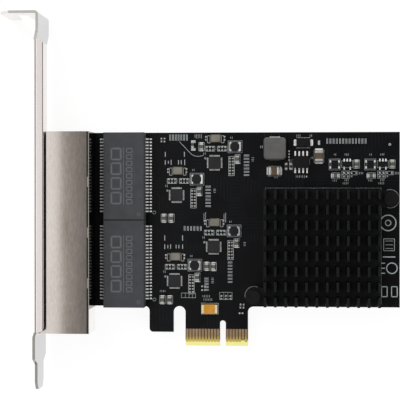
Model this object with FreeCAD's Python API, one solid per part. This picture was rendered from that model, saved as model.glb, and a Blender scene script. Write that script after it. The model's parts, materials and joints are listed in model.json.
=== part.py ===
import FreeCAD, Part
import math
import os

# A four-port network interface card for a x1 expansion slot.
#
# Frame: the origin is the centre line of the key notch at the bottom of the edge
# connector, on the component face of the circuit board.  X runs from the slot bracket
# to the free end of the board, Y up to the bracket's screw tab, Z out of the component
# face.  Lengths are millimetres.

# ---- driving dimensions -------------------------------------------------------------

BOARD_T = 1.6
BOARD_LEFT = -57.2
BOARD_RIGHT = 56.65
BOARD_TOP = 68.9
BOARD_BOTTOM = 12.75
BLADE_LEFT = -12.1
BLADE_RIGHT = 8.1
KEY_WIDTH = 1.9
KEY_DEPTH = 8.2
LEG_LEFT = -23.8
LEG_RIGHT = -16.0
LEG_BOTTOM = 4.4
JACK_TAB_RIGHT = -44.5
JACK_TAB_BOTTOM = 5.0
BEVEL_RISE = 1.3
BEVEL_DEPTH = 0.47

CONTACT_PITCH = 1.0
CONTACT_WIDTH = 0.7
CONTACT_TOP = 5.46
CONTACT_T = 0.05
CONTACTS_BEFORE_KEY = 11
CONTACTS_AFTER_KEY = 7
FIRST_CONTACT = -11.5
FIRST_AFTER_KEY = 1.5
SHORT_CONTACT_LIFT = 1.1

SHEET = 0.86
WEB_OUTER = -58.9
WEB_INNER = WEB_OUTER + SHEET
STRIP_BACK = -3.4
STRIP_FRONT = 15.0
NECK_SHIFT = 3.2
NECK_START = 98.0
NECK_END = 101.2
TAB_TOP = 107.4
TAB_END = -70.8
TONGUE_TIP = -13.4
TONGUE_SET = 0.4
TONGUE_INSET = 4.11
SHOULDER_TOP = -3.2
SHOULDER_BOTTOM = -5.2
FLANGE_EDGE = -55.75
FLANGE_LOW = 5.3
FLANGE_HIGH = 97.9
NOTCH_X = -65.0
NOTCH_RADIUS = 2.21
NOTCH_CENTRE_Z = 3.5
FOOT_HALF = 4.0
FOOT_END = -50.2
FOOT_SCREW_X = -53.5

PORTS = 4
PORT_PITCH = 16.0
JACK_LOW = 4.86
JACK_HIGH = JACK_LOW + PORTS * PORT_PITCH
JACK_TOP = 13.5
JACK_REAR = -41.5
JACK_STEP = -55.1
JACK_SHOULDER = -57.9
SHOULDER_Z = 12.4
COLLAR_HALF = 7.0
COLLAR_LOW = 0.5
COLLAR_HIGH = 12.3
WINDOW_GAP = 0.15
SHIELD_T = 0.3
REAR_SLOT = 0.35
SEAT = 0.05
CAVITY_HALF = 5.95
CAVITY_LOW = 4.7
CAVITY_HIGH = 11.6
CAVITY_REAR = -46.0
LATCH_STEPS = ((3.2, 3.1), (2.0, 1.9))
LED_SIDE = 5.1
LED_HALF = 1.2
LED_LOW = 1.3
LED_HIGH = 3.9
LED_REAR = -50.0
CONTACTS_PER_PORT = 8
WIRE_PITCH = 1.02
WIRE_WIDTH = 0.45
WIRE_T = 0.35
WIRE_FRONT = -57.2
WIRE_REAR = -49.6
WIRE_LOW = 9.1
PIN_PITCH = 1.27
PIN_SIDE = 0.45
PIN_ROWS = (-46.4, -48.94)
PIN_END = -3.0
COVER_LEG_WIDTH = 1.6
SCREW_RADIUS = 0.95

MODULE_LEFT = -38.06
MODULE_RIGHT = -24.94
MODULE_LENGTH = 28.0
MODULE_TOP = 6.0
MODULE_STANDOFF = 0.15
MODULE_LOWS = {"lower": 12.6, "upper": 40.8}
MODULE_LEADS = 24
MODULE_PITCH = 1.016
MODULE_LEAD_REACH = 1.9
MODULE_LEAD_SHIFT = 0.3

SINK_LEFT = 13.1
SINK_BOTTOM = 13.4
SINK_SIDE = 37.45
SINK_DEPTH = 37.05
SINK_BASE_LOW = 1.7
SINK_BASE_TOP = 3.2
SINK_TOP = 11.0
FIN_COLUMNS = 12
FIN_PITCH = 3.258
FIN_ROOT = 1.15
FIN_TIP = 0.8
FIN_ROWS = 8
CROSS_CUT = 1.83
EAR_RADIUS = 2.75
PIN_OFFSET_X = 21.75
PIN_OFFSET_Y = 15.6
PIN_HOLE = 1.6
PIN_SHAFT = 1.45
PIN_HEAD = 2.2
PIN_HEAD_Z = 7.2
SPRING_OUTER = 2.1
SPRING_INNER = 1.6
SPRING_SIDES = 12

CHANNELS = ((-2.66, 59.1), (-14.97, 48.68), (-2.96, 32.0), (-15.65, 20.9))
REGULATOR_SHIFTS = (0.0, 11.35)

# Chip capacitors and resistors: length, width, height.
SIZES = {
    "0402": (1.0, 0.5, 0.5),
    "0603": (1.6, 0.8, 0.8),
    "0805": (2.0, 1.25, 1.0),
    "1210": (3.4, 2.5, 1.8),
}

# Offsets from the centre of a channel's chip: x, y, turn about Z.
CHANNEL_SMALL_COLUMN = {"x": 5.5, "top": 1.4, "pitch": 0.98, "count": 6}
CHANNEL_SMALL_BLOCKS = {"centres": (-1.5, 2.44), "y": 4.58, "pitch": 1.0, "count": 3}
CRYSTAL_OFFSET = (0.35, 7.9)
CRYSTAL_CAPACITORS = (-2.8, 3.2)
INDUCTOR_OFFSET = (6.6, 5.15)
INDUCTOR_CAPACITOR = (7.4, 1.2)

# Other chip parts on the board: size, x, y, turn about Z.
LOOSE_CAPACITORS = (
    ("0805", -6.9, 64.3, 90),
    ("0603", -9.8, 65.0, 90),
    ("0805", -19.1, 41.2, 90),
    ("0805", -16.7, 41.2, 90),
    ("0805", -5.2, 25.7, 90),
    ("0805", -3.0, 25.6, 90),
    ("0805", -19.6, 14.8, 90),
    ("0805", -17.2, 14.8, 90),
    ("1210", 16.6, 56.4, 0),
    ("1210", 30.9, 61.2, 90),
    ("0402", 5.7, 12.9, 90),
    ("0402", 6.7, 12.9, 90),
)
LOOSE_RESISTORS = (
    ("0402", -19.9, 66.5, 90),
    ("0402", -18.9, 66.5, 90),
    ("0402", -0.5, 15.7, 90),
    ("0402", 1.0, 15.7, 90),
    ("0402", 2.5, 15.7, 90),
    ("0402", -6.2, 19.2, 0),
    ("0402", -6.2, 18.0, 0),
    ("0402", 5.9, 10.6, 0),
    ("0402", 21.3, 62.3, 90),
    ("0402", 21.3, 60.4, 90),
    ("0603", 20.4, 57.9, 90),
    ("0603", 21.9, 57.9, 90),
)
# The parts of one regulator block, placed again for the second block.
REGULATOR_CAPACITORS = (
    ("0805", 42.9, 58.6, 90),
    ("0805", 36.2, 54.9, 0),
)
REGULATOR_RESISTORS = (
    ("0402", 39.1, 55.2, 90),
    ("0402", 40.2, 55.2, 90),
    ("0402", 41.3, 55.2, 90),
)

# ---- shapes -------------------------------------------------------------------------

TURNS = {
    "z": FreeCAD.Matrix(),
    "x": FreeCAD.Matrix(0, 0, 1, 0, 1, 0, 0, 0, 0, 1, 0, 0, 0, 0, 0, 1),
    "y": FreeCAD.Matrix(0, 1, 0, 0, 0, 0, 1, 0, 1, 0, 0, 0, 0, 0, 0, 1),
}


def vector(x, y, z=0.0):
    return FreeCAD.Vector(x, y, z)


def block(x, y, z):
    """A block between the low and high values of each axis."""
    return Part.makeBox(x[1] - x[0], y[1] - y[0], z[1] - z[0], vector(x[0], y[0], z[0]))


def round_bar(radius, x, y, low, high):
    """A round bar along Z."""
    return Part.makeCylinder(radius, high - low, vector(x, y, low))


def corner_ends(before, here, after, radius):
    """Where a corner's arc starts, its middle and where it ends."""
    if radius == 0:
        return here, None, here
    back = (before - here).normalize()
    ahead = (after - here).normalize()
    half_angle = back.getAngle(ahead) / 2
    reach = radius / math.tan(half_angle)
    bisector = (back + ahead).normalize()
    middle = here + bisector * (radius / math.sin(half_angle) - radius)
    return here + back * reach, middle, here + ahead * reach


def outline(corners):
    """A closed wire through (u, v, radius) corners, in the XY plane."""
    points = [vector(u, v) for u, v, _ in corners]
    count = len(points)
    arcs = []
    for index, (_, _, radius) in enumerate(corners):
        after = points[(index + 1) % count]
        arcs.append(corner_ends(points[index - 1], points[index], after, radius))
    edges = []
    for index, (start, middle, end) in enumerate(arcs):
        if middle is not None:
            edges.append(Part.Arc(start, middle, end).toShape())
        next_start = arcs[(index + 1) % count][0]
        if (next_start - end).Length > 1e-6:
            edges.append(Part.LineSegment(end, next_start).toShape())
    return Part.Wire(edges)


def prism(axis, corners, low, high):
    """An outline extruded along an axis.

    The corners are (x, y) for axis z, (y, z) for axis x and (z, x) for axis y, each
    with the radius of its corner.
    """
    face = Part.Face(outline(corners))
    face.translate(vector(0, 0, low))
    solid = face.extrude(vector(0, 0, high - low))
    return solid.transformed(TURNS[axis])


def placed(solid, x, y, turn=0.0):
    """A copy turned about Z and moved over the board."""
    copy = solid.copy()
    copy.rotate(vector(0, 0), vector(0, 0, 1), turn)
    copy.translate(vector(x, y))
    return copy


def group(solids):
    """Separate solids that share one node."""
    return Part.makeCompound(list(solids))


def many_sided(radius, x, y):
    """The corners of a regular outline with SPRING_SIDES sides."""
    turns = [2 * math.pi * step / SPRING_SIDES for step in range(SPRING_SIDES)]
    return [(x + radius * math.cos(a), y + radius * math.sin(a), 0) for a in turns]


def gull_wing(reach, shoulder, height, thickness, width):
    """A bent lead that leaves its body along +X and stands on the board."""
    profile = (
        (height, 0.0, 0),
        (height, shoulder + thickness, 0),
        (thickness, shoulder + thickness, 0),
        (thickness, reach, 0),
        (0.0, reach, 0),
        (0.0, shoulder, 0),
        (height - thickness, shoulder, 0),
        (height - thickness, 0.0, 0),
    )
    return prism("y", profile, -width / 2, width / 2)


def side_lead(reach, height, thickness, width):
    """A lead that comes down the side of its body and turns out along the board."""
    profile = (
        (height, 0.0, 0),
        (height, thickness, 0),
        (thickness, thickness, 0),
        (thickness, reach, 0),
        (0.0, reach, 0),
        (0.0, 0.0, 0),
    )
    return prism("y", profile, -width / 2, width / 2)


# ---- circuit board ------------------------------------------------------------------


def port_centres():
    return [JACK_LOW + PORT_PITCH * (index + 0.5) for index in range(PORTS)]


def divider_lines():
    return [JACK_LOW + PORT_PITCH * (index + 1) for index in range(PORTS - 1)]


def foot_lines():
    """The outer dividers, where the bracket's feet are screwed on."""
    lines = divider_lines()
    return [lines[0], lines[-1]]


def jack_pin_places():
    """Two staggered rows of signal pins under each port."""
    places = []
    for centre in port_centres():
        for index in range(CONTACTS_PER_PORT):
            y = centre + (index - (CONTACTS_PER_PORT - 1) / 2) * PIN_PITCH
            places.append((PIN_ROWS[index % 2], y))
    return places


def jack_pin(x, y):
    half = PIN_SIDE / 2
    return block((x - half, x + half), (y - half, y + half), (PIN_END, -BOARD_T))


def cover_leg(y):
    """A leg of the jack's rear cover, through the board."""
    half = COVER_LEG_WIDTH / 2
    return block((JACK_REAR - SHIELD_T, JACK_REAR), (y - half, y + half), (PIN_END, SEAT))


def push_pin_places():
    x = SINK_LEFT + SINK_SIDE / 2
    y = SINK_BOTTOM + SINK_DEPTH / 2
    return [(x - PIN_OFFSET_X, y - PIN_OFFSET_Y), (x + PIN_OFFSET_X, y + PIN_OFFSET_Y)]


def make_board():
    key = KEY_WIDTH / 2
    slot_round = (BLADE_LEFT - LEG_RIGHT) / 2 - 0.01
    corners = (
        (BOARD_LEFT, JACK_TAB_BOTTOM, 0),
        (JACK_TAB_RIGHT, JACK_TAB_BOTTOM, 0),
        (JACK_TAB_RIGHT, BOARD_BOTTOM, 0.8),
        (LEG_LEFT, BOARD_BOTTOM, 1.6),
        (LEG_LEFT, LEG_BOTTOM, 1.2),
        (LEG_RIGHT, LEG_BOTTOM, 0),
        (LEG_RIGHT, BOARD_BOTTOM, slot_round),
        (BLADE_LEFT, BOARD_BOTTOM, slot_round),
        (BLADE_LEFT, 0.0, 0),
        (-key, 0.0, 0),
        (-key, KEY_DEPTH, key - 0.01),
        (key, KEY_DEPTH, key - 0.01),
        (key, 0.0, 0),
        (BLADE_RIGHT, 0.0, 0),
        (BLADE_RIGHT, BOARD_BOTTOM, 1.8),
        (BOARD_RIGHT, BOARD_BOTTOM, 0),
        (BOARD_RIGHT, BOARD_TOP, 0),
        (BOARD_LEFT, BOARD_TOP, 0),
    )
    board = prism("z", corners, -BOARD_T, 0.0)
    past = 0.2
    past_depth = BEVEL_DEPTH * (1 + past / BEVEL_RISE)
    for face, out in ((0.0, 1), (-BOARD_T, -1)):
        wedge = (
            (BEVEL_RISE, face, 0),
            (BEVEL_RISE, face + out, 0),
            (-past, face + out, 0),
            (-past, face - out * past_depth, 0),
        )
        board = board.cut(prism("x", wedge, BLADE_LEFT - 1, BLADE_RIGHT + 1))
    holes = [(FOOT_SCREW_X, y, SCREW_RADIUS + 0.25) for y in foot_lines()]
    holes += [(x, y, PIN_HOLE) for x, y in push_pin_places()]
    bars = [round_bar(radius, x, y, -BOARD_T - 1, 1) for x, y, radius in holes]
    # Solder fills the holes of the cover's legs, so the board closes round them.
    soldered = [cover_leg(y) for y in divider_lines()]
    return board.cut(group(bars + soldered))


def make_edge_contacts():
    """Gold fingers on both faces of the blade; the presence contacts are shorter."""
    left = [FIRST_CONTACT + CONTACT_PITCH * n for n in range(CONTACTS_BEFORE_KEY)]
    right = [FIRST_AFTER_KEY + CONTACT_PITCH * n for n in range(CONTACTS_AFTER_KEY)]
    short = {"front": right[5], "back": left[0]}
    faces = {"front": (0.0, CONTACT_T), "back": (-BOARD_T - CONTACT_T, -BOARD_T)}
    half = CONTACT_WIDTH / 2
    fingers = []
    for side, heights in faces.items():
        for x in left + right:
            low = BEVEL_RISE
            if x == short[side]:
                low += SHORT_CONTACT_LIFT
            fingers.append(block((x - half, x + half), (low, CONTACT_TOP), heights))
    return group(fingers)


# ---- slot bracket -------------------------------------------------------------------


def make_strip():
    """The bent strip seen from its edge, full width, before it is trimmed."""
    step = 1.2
    path = (
        (TAB_END, TAB_TOP, 0),
        (TAB_END, TAB_TOP - SHEET, 0),
        (WEB_OUTER, TAB_TOP - SHEET, 0.45),
        (WEB_OUTER, FLANGE_LOW - 0.3, 0),
        (WEB_OUTER - TONGUE_SET, FLANGE_LOW - 0.3 - step, 0),
        (WEB_OUTER - TONGUE_SET, TONGUE_TIP, 0),
        (WEB_INNER - TONGUE_SET, TONGUE_TIP, 0),
        (WEB_INNER - TONGUE_SET, FLANGE_LOW - 0.3 - step, 0),
        (WEB_INNER, FLANGE_LOW - 0.3, 0),
        (WEB_INNER, TAB_TOP, 1.31),
    )
    return prism("z", path, STRIP_BACK - NECK_SHIFT, STRIP_FRONT)


def strip_outline():
    """The strip's shape seen from the front: tongue, body, offset neck and tab."""
    front = STRIP_FRONT
    back = STRIP_BACK
    tip = 1.7
    return (
        (TONGUE_TIP, back + TONGUE_INSET + tip, 1.2),
        (TONGUE_TIP, front - TONGUE_INSET - tip, 1.2),
        (TONGUE_TIP + 2.3, front - TONGUE_INSET, 0),
        (SHOULDER_BOTTOM, front - TONGUE_INSET, 0),
        (SHOULDER_TOP, front, 0),
        (NECK_START, front, 1.5),
        (NECK_END, front - NECK_SHIFT, 1.5),
        (TAB_TOP + 1, front - NECK_SHIFT, 0),
        (TAB_TOP + 1, back - NECK_SHIFT, 0),
        (NECK_END, back - NECK_SHIFT, 1.5),
        (NECK_START, back, 1.5),
        (SHOULDER_TOP, back, 0),
        (SHOULDER_BOTTOM, back + TONGUE_INSET, 0),
        (TONGUE_TIP + 2.3, back + TONGUE_INSET, 0),
    )


def make_flange():
    """The near edge of the strip, folded over towards the board."""
    bend = (
        (STRIP_FRONT - 3, WEB_OUTER, 0),
        (STRIP_FRONT, WEB_OUTER, 1.1),
        (STRIP_FRONT, FLANGE_EDGE, 0.35),
        (STRIP_FRONT - SHEET, FLANGE_EDGE, 0),
        (STRIP_FRONT - SHEET, WEB_INNER, 0.25),
        (STRIP_FRONT - 3, WEB_INNER, 0),
    )
    ends = (
        (WEB_OUTER - 1, FLANGE_LOW, 0),
        (FLANGE_EDGE, FLANGE_LOW, 1.8),
        (FLANGE_EDGE, FLANGE_HIGH, 1.8),
        (WEB_OUTER - 1, FLANGE_HIGH, 0),
    )
    flange = prism("y", bend, FLANGE_LOW, FLANGE_HIGH)
    return flange.common(prism("z", ends, 0, STRIP_FRONT + 1))


def make_foot(y):
    """A foot folded under the board, with a clear hole for its screw."""
    under = -BOARD_T - SHEET
    bend = (
        (under + 2, WEB_OUTER, 0),
        (under, WEB_OUTER, 1.1),
        (under, FOOT_END, 0),
        (-BOARD_T, FOOT_END, 0),
        (-BOARD_T, WEB_INNER, 0.25),
        (under + 2, WEB_INNER, 0),
    )
    foot = prism("y", bend, y - FOOT_HALF, y + FOOT_HALF)
    return foot.cut(round_bar(1.3, FOOT_SCREW_X, y, under - 1, 0))


def make_bracket():
    bracket = make_strip().common(prism("x", strip_outline(), TAB_END - 1, WEB_INNER + 1))
    notch_z = (STRIP_BACK - NECK_SHIFT - 1, NOTCH_CENTRE_Z)
    notch_x = (NOTCH_X - NOTCH_RADIUS, NOTCH_X + NOTCH_RADIUS)
    notch = block(notch_x, (TAB_TOP - 2, TAB_TOP + 1), notch_z)
    top = vector(NOTCH_X, TAB_TOP - 2, NOTCH_CENTRE_Z)
    notch_end = Part.makeCylinder(NOTCH_RADIUS, 3, top, vector(0, 1, 0))
    near = STRIP_FRONT - NECK_SHIFT
    corner = (
        (near + 1, TAB_END - 1, 0),
        (near + 1, TAB_END + 3.2, 0),
        (near, TAB_END + 3.2, 0),
        (near - 3.2, TAB_END, 0),
        (near - 3.2, TAB_END - 1, 0),
    )
    cuts = [notch, notch_end, prism("y", corner, TAB_TOP - 2, TAB_TOP + 1)]
    trim = (STRIP_FRONT - 3, STRIP_FRONT + 1)
    through = (WEB_OUTER - 1, WEB_INNER + 1)
    cuts.append(block(through, (FLANGE_LOW, FLANGE_HIGH), trim))
    relief = FOOT_HALF + 0.8
    for y in foot_lines():
        bar = (STRIP_BACK - 1, -BOARD_T - SHEET + 2)
        cuts.append(block(through, (y - FOOT_HALF, y + FOOT_HALF), bar))
        cuts.append(block(through, (y - relief, y + relief), (STRIP_BACK - 1, -BOARD_T)))
    window_half = COLLAR_HALF + WINDOW_GAP
    window_low = COLLAR_LOW - WINDOW_GAP
    window_high = COLLAR_HIGH + WINDOW_GAP
    bracket = bracket.cut(group(cuts[:4]))
    for cut in cuts[4:]:
        bracket = bracket.cut(cut)
    feet = [make_foot(y) for y in foot_lines()]
    bracket = bracket.fuse([make_flange()] + feet)
    for y in port_centres():
        window = (
            (y - window_half, window_low, 0),
            (y + window_half, window_low, 0),
            (y + window_half, window_high, 0),
            (y - window_half, window_high, 0),
        )
        bracket = bracket.cut(prism("x", window, through[0], through[1]))
    return bracket.removeSplitter()


def make_bracket_screws():
    """Pan-head screws through the feet into the jack's posts."""
    under = -BOARD_T - SHEET
    screws = []
    for y in foot_lines():
        head = round_bar(2.1, FOOT_SCREW_X, y, under - 1.5, under)
        shank = round_bar(SCREW_RADIUS, FOOT_SCREW_X, y, under, 2.6)
        screws.append(head.fuse(shank))
    return group(screws)


# ---- ganged jack --------------------------------------------------------------------


def port_mouth(y, low, high):
    """The opening of one port: a cavity with the plug latch's steps towards the board."""
    outer_half, outer_low = LATCH_STEPS[0]
    inner_half, inner_low = LATCH_STEPS[1]
    corners = (
        (y - CAVITY_HALF, CAVITY_LOW, 0),
        (y - outer_half, CAVITY_LOW, 0),
        (y - outer_half, outer_low, 0),
        (y - inner_half, outer_low, 0),
        (y - inner_half, inner_low, 0),
        (y + inner_half, inner_low, 0),
        (y + inner_half, outer_low, 0),
        (y + outer_half, outer_low, 0),
        (y + outer_half, CAVITY_LOW, 0),
        (y + CAVITY_HALF, CAVITY_LOW, 0),
        (y + CAVITY_HALF, CAVITY_HIGH, 0),
        (y - CAVITY_HALF, CAVITY_HIGH, 0),
    )
    return prism("x", corners, low, high)


def led_bar(y, side):
    centre = y + side * LED_SIDE
    span = (centre - LED_HALF, centre + LED_HALF)
    return block((WEB_OUTER, LED_REAR), span, (LED_LOW, LED_HIGH))


def jack_envelope(inset):
    """The jack's outer form, or the space inside its shield for an inset."""
    rear = JACK_REAR - SHIELD_T
    span = (JACK_LOW + inset, JACK_HIGH - inset)
    body = block((JACK_STEP + inset, rear), span, (SEAT, JACK_TOP - inset))
    shoulder = block((JACK_SHOULDER + inset, JACK_STEP + inset), span, (SEAT, SHOULDER_Z - inset))
    form = body.fuse(shoulder)
    for y in port_centres():
        half = COLLAR_HALF - inset
        heights = (COLLAR_LOW + inset, COLLAR_HIGH - inset)
        collar = block((WEB_OUTER + inset, JACK_SHOULDER + inset), (y - half, y + half), heights)
        form = form.fuse(collar)
    return form.removeSplitter()


def make_jack_shield():
    """The drawn front shell, open to the board and to the rear."""
    shell = jack_envelope(0.0).cut(jack_envelope(SHIELD_T))
    rear_top = (JACK_REAR - SHIELD_T - REAR_SLOT, JACK_REAR)
    shell = shell.cut(block(rear_top, (JACK_LOW, JACK_HIGH), (JACK_TOP - SHIELD_T, JACK_TOP)))
    front = WEB_OUTER + SHIELD_T
    for y in port_centres():
        shell = shell.cut(port_mouth(y, WEB_OUTER - 1, front))
        for side in (-1, 1):
            shell = shell.cut(led_bar(y, side))
    return shell.removeSplitter()


def make_jack_rear_cover():
    """The rear plate, hooked over the top and pinned to the board at each divider."""
    front = JACK_REAR - SHIELD_T
    cover = block((front, JACK_REAR), (JACK_LOW, JACK_HIGH), (SEAT, JACK_TOP - SEAT))
    for y in divider_lines():
        hook_top = (JACK_TOP - SHIELD_T, JACK_TOP - SEAT)
        hook = block((front - REAR_SLOT, front), (y - 1.6, y + 1.6), hook_top)
        cover = cover.fuse([hook, cover_leg(y)])
    return cover.removeSplitter()


def contact_wire(y):
    """One sprung wire, sloping back into the cavity from its roof."""
    slope = (
        (CAVITY_HIGH, WIRE_FRONT, 0),
        (CAVITY_HIGH, WIRE_FRONT + 1.1, 0),
        (WIRE_LOW + WIRE_T, WIRE_REAR, 0),
        (WIRE_LOW, WIRE_REAR, 0),
    )
    return prism("y", slope, y - WIRE_WIDTH / 2, y + WIRE_WIDTH / 2)


def make_jack_contacts():
    wires = []
    for centre in port_centres():
        for index in range(CONTACTS_PER_PORT):
            y = centre + (index - (CONTACTS_PER_PORT - 1) / 2) * WIRE_PITCH
            wires.append(contact_wire(y))
    return group(wires)


def make_jack_housing():
    """The moulded insert: four cavities, light-pipe bores and two screw bores."""
    housing = jack_envelope(SHIELD_T)
    rear_slot = (JACK_REAR - SHIELD_T - REAR_SLOT, JACK_REAR - SHIELD_T)
    floor = (JACK_TOP - SHIELD_T - 0.2, JACK_TOP)
    housing = housing.cut(block(rear_slot, (JACK_LOW, JACK_HIGH), floor))
    for y in port_centres():
        housing = housing.cut(port_mouth(y, WEB_OUTER - 1, CAVITY_REAR))
        for side in (-1, 1):
            housing = housing.cut(led_bar(y, side))
    for y in foot_lines():
        bore = round_bar(SCREW_RADIUS + 0.05, FOOT_SCREW_X, y, -BOARD_T - 1, 3.0)
        housing = housing.cut(bore)
    return housing


def make_jack_pins():
    return group(jack_pin(x, y) for x, y in jack_pin_places())


def make_leds(side):
    return group(led_bar(y, side) for y in port_centres())


# ---- line transformers --------------------------------------------------------------


def make_transformer(low):
    """A moulded module with a small chamfer round its top."""
    span = (low, low + MODULE_LENGTH)
    body = block((MODULE_LEFT, MODULE_RIGHT), span, (MODULE_STANDOFF, MODULE_TOP))
    top = [edge for edge in body.Edges if edge.BoundBox.ZMin > MODULE_TOP - 0.01]
    return body.makeChamfer(0.2, top)


def make_transformer_leads(low):
    lead = block((0.0, MODULE_LEAD_REACH), (-0.21, 0.21), (SEAT, 0.3))
    centre = low + MODULE_LENGTH / 2 + MODULE_LEAD_SHIFT
    leads = []
    for index in range(MODULE_LEADS):
        y = centre + (index - (MODULE_LEADS - 1) / 2) * MODULE_PITCH
        leads.append(placed(lead, MODULE_RIGHT, y))
        leads.append(placed(lead, MODULE_LEFT, y, 180))
    return group(leads)


# ---- heat sink and what it cools ----------------------------------------------------


def fin_comb():
    """The extruded section: a base with tapered fins standing on it."""
    corners = [(SINK_BASE_LOW, SINK_LEFT, 0)]
    first = SINK_LEFT + SINK_SIDE / 2 - FIN_PITCH * (FIN_COLUMNS - 1) / 2
    comb = [(SINK_BASE_TOP, SINK_LEFT)]
    for index in range(FIN_COLUMNS):
        x = first + index * FIN_PITCH
        comb.append((SINK_BASE_TOP, x - FIN_ROOT / 2))
        comb.append((SINK_TOP, x - FIN_TIP / 2))
        comb.append((SINK_TOP, x + FIN_TIP / 2))
        comb.append((SINK_BASE_TOP, x + FIN_ROOT / 2))
    comb.append((SINK_BASE_TOP, SINK_LEFT + SINK_SIDE))
    corners = [(z, x, 0) for z, x in comb]
    corners.append((SINK_BASE_LOW, SINK_LEFT + SINK_SIDE, 0))
    corners.append((SINK_BASE_LOW, SINK_LEFT, 0))
    return corners


def make_ear(x, y):
    """A round ear that reaches from the base to one push pin."""
    inward = 1 if x < SINK_LEFT + SINK_SIDE / 2 else -1
    root = x + inward * (EAR_RADIUS + 1.5)
    span = (min(x, root), max(x, root))
    heights = (SINK_BASE_LOW, SINK_BASE_TOP)
    arm = block(span, (y - EAR_RADIUS, y + EAR_RADIUS), heights)
    return arm.fuse(round_bar(EAR_RADIUS, x, y, heights[0], heights[1]))


def make_heat_sink():
    top = SINK_BOTTOM + SINK_DEPTH
    sink = prism("y", fin_comb(), SINK_BOTTOM, top)
    row_pitch = (SINK_DEPTH + CROSS_CUT) / FIN_ROWS
    cuts = []
    for index in range(FIN_ROWS - 1):
        end = SINK_BOTTOM + (index + 1) * row_pitch
        across = (SINK_LEFT - 1, SINK_LEFT + SINK_SIDE + 1)
        cuts.append(block(across, (end - CROSS_CUT, end), (SINK_BASE_TOP, SINK_TOP + 1)))
    sink = sink.cut(group(cuts))
    ears = [make_ear(x, y) for x, y in push_pin_places()]
    sink = sink.fuse(ears)
    for x, y in push_pin_places():
        sink = sink.cut(round_bar(PIN_HOLE, x, y, 0, SINK_TOP))
    return sink.removeSplitter()


def centred_plate(side, low, high):
    x = SINK_LEFT + SINK_SIDE / 2
    y = SINK_BOTTOM + SINK_DEPTH / 2
    half = side / 2
    return block((x - half, x + half), (y - half, y + half), (low, high))


def make_push_pins():
    """Plastic pins whose barbs catch under the board."""
    pins = []
    for x, y in push_pin_places():
        profile = (
            (0.0, -4.2, 0),
            (1.95, -1.75, 0),
            (PIN_SHAFT, -1.75, 0),
            (PIN_SHAFT, PIN_HEAD_Z - 0.9, 0),
            (PIN_HEAD, PIN_HEAD_Z - 0.9, 0),
            (PIN_HEAD, PIN_HEAD_Z, 0),
            (0.0, PIN_HEAD_Z, 0),
        )
        face = Part.Face(outline(profile))
        face.rotate(vector(0, 0), vector(1, 0, 0), 90)
        pin = face.revolve(vector(0, 0), vector(0, 0, 1), 360)
        pins.append(placed(pin, x, y))
    return group(pins)


def make_push_pin_springs():
    """The coil springs' closed form, between each ear and its pin's head."""
    low = SINK_BASE_TOP
    high = PIN_HEAD_Z - 0.9
    springs = []
    for x, y in push_pin_places():
        spring = prism("z", many_sided(SPRING_OUTER, x, y), low, high)
        bore = prism("z", many_sided(SPRING_INNER, x, y), low - 1, high + 1)
        springs.append(spring.cut(bore))
    return group(springs)


# ---- board components ---------------------------------------------------------------


def make_ethernet_chip(x, y):
    """A 4 mm leadless package with a chamfered first corner."""
    corners = (
        (x - 2.0, y - 2.0, 0),
        (x + 2.0, y - 2.0, 0),
        (x + 2.0, y + 2.0, 0),
        (x - 1.7, y + 2.0, 0),
        (x - 2.0, y + 1.7, 0),
    )
    return prism("z", corners, SEAT, 0.85)


def make_crystal(x, y):
    """A ceramic tray and the welded metal lid that closes it."""
    base = block((x - 1.6, x + 1.6), (y - 1.25, y + 1.25), (SEAT, 0.55))
    return base, cut_corner_block(x, y, 2.8, 2.1, 0.35, (0.55, 0.8))


def cut_corner_block(x, y, long, wide, corner, heights):
    """An upright block with its four upright corners cut off."""
    right = long / 2
    top = wide / 2
    corners = (
        (x - right + corner, y - top, 0),
        (x + right - corner, y - top, 0),
        (x + right, y - top + corner, 0),
        (x + right, y + top - corner, 0),
        (x + right - corner, y + top, 0),
        (x - right + corner, y + top, 0),
        (x - right, y + top - corner, 0),
        (x - right, y - top + corner, 0),
    )
    return prism("z", corners, heights[0], heights[1])


def inductor_body(x, y, side, corner, high):
    """A square moulded core that stands on its terminals."""
    return cut_corner_block(x, y, side, side, corner, (0.25, high))


def end_terminals(x, y, side, width, turn):
    """Two strips that wrap up the opposite ends of a moulded core."""
    half = side / 2
    foot = block((half - 0.9, half + 0.3), (-width / 2, width / 2), (SEAT, 0.25))
    rise = block((half, half + 0.3), (-width / 2, width / 2), (0.25, 1.1))
    strip = foot.fuse(rise).removeSplitter()
    return [placed(strip, x, y, turn), placed(strip, x, y, turn + 180)]


def small_outline_package(long, wide, high):
    """A moulded body centred on the origin, raised on its leads."""
    return block((-long / 2, long / 2), (-wide / 2, wide / 2), (0.15, high))


def row_leads(places, wide, lead):
    """Leads along the two long sides; places are (offset, side) pairs."""
    leads = []
    for offset, side in places:
        leads.append(placed(lead, offset, side * wide / 2, 90 * side))
    return leads


def chip_part(size):
    """A chip capacitor or resistor: one fired block, metallised at its ends."""
    length, width, height = SIZES[size]
    half = length / 2
    return block((-half, half), (-width / 2, width / 2), (SEAT, height))


def channel_capacitors(x, y):
    """The chip capacitors that stand round one channel's chip."""
    places = [("0805", x + INDUCTOR_CAPACITOR[0], y + INDUCTOR_CAPACITOR[1], 90)]
    for offset in CRYSTAL_CAPACITORS:
        places.append(("0402", x + offset, y + CRYSTAL_OFFSET[1], 90))
    column = CHANNEL_SMALL_COLUMN
    for index in range(column["count"]):
        drop = column["top"] - index * column["pitch"]
        places.append(("0402", x + column["x"], y + drop, 0))
    return places


def channel_resistors(x, y):
    """The two blocks of chip resistors between the chip and its crystal."""
    blocks = CHANNEL_SMALL_BLOCKS
    places = []
    for centre in blocks["centres"]:
        for index in range(blocks["count"]):
            offset = centre + (index - (blocks["count"] - 1) / 2) * blocks["pitch"]
            places.append(("0402", x + offset, y + blocks["y"], 90))
    return places


def shifted(places, shift):
    return [(size, x + shift, y, turn) for size, x, y, turn in places]


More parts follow.
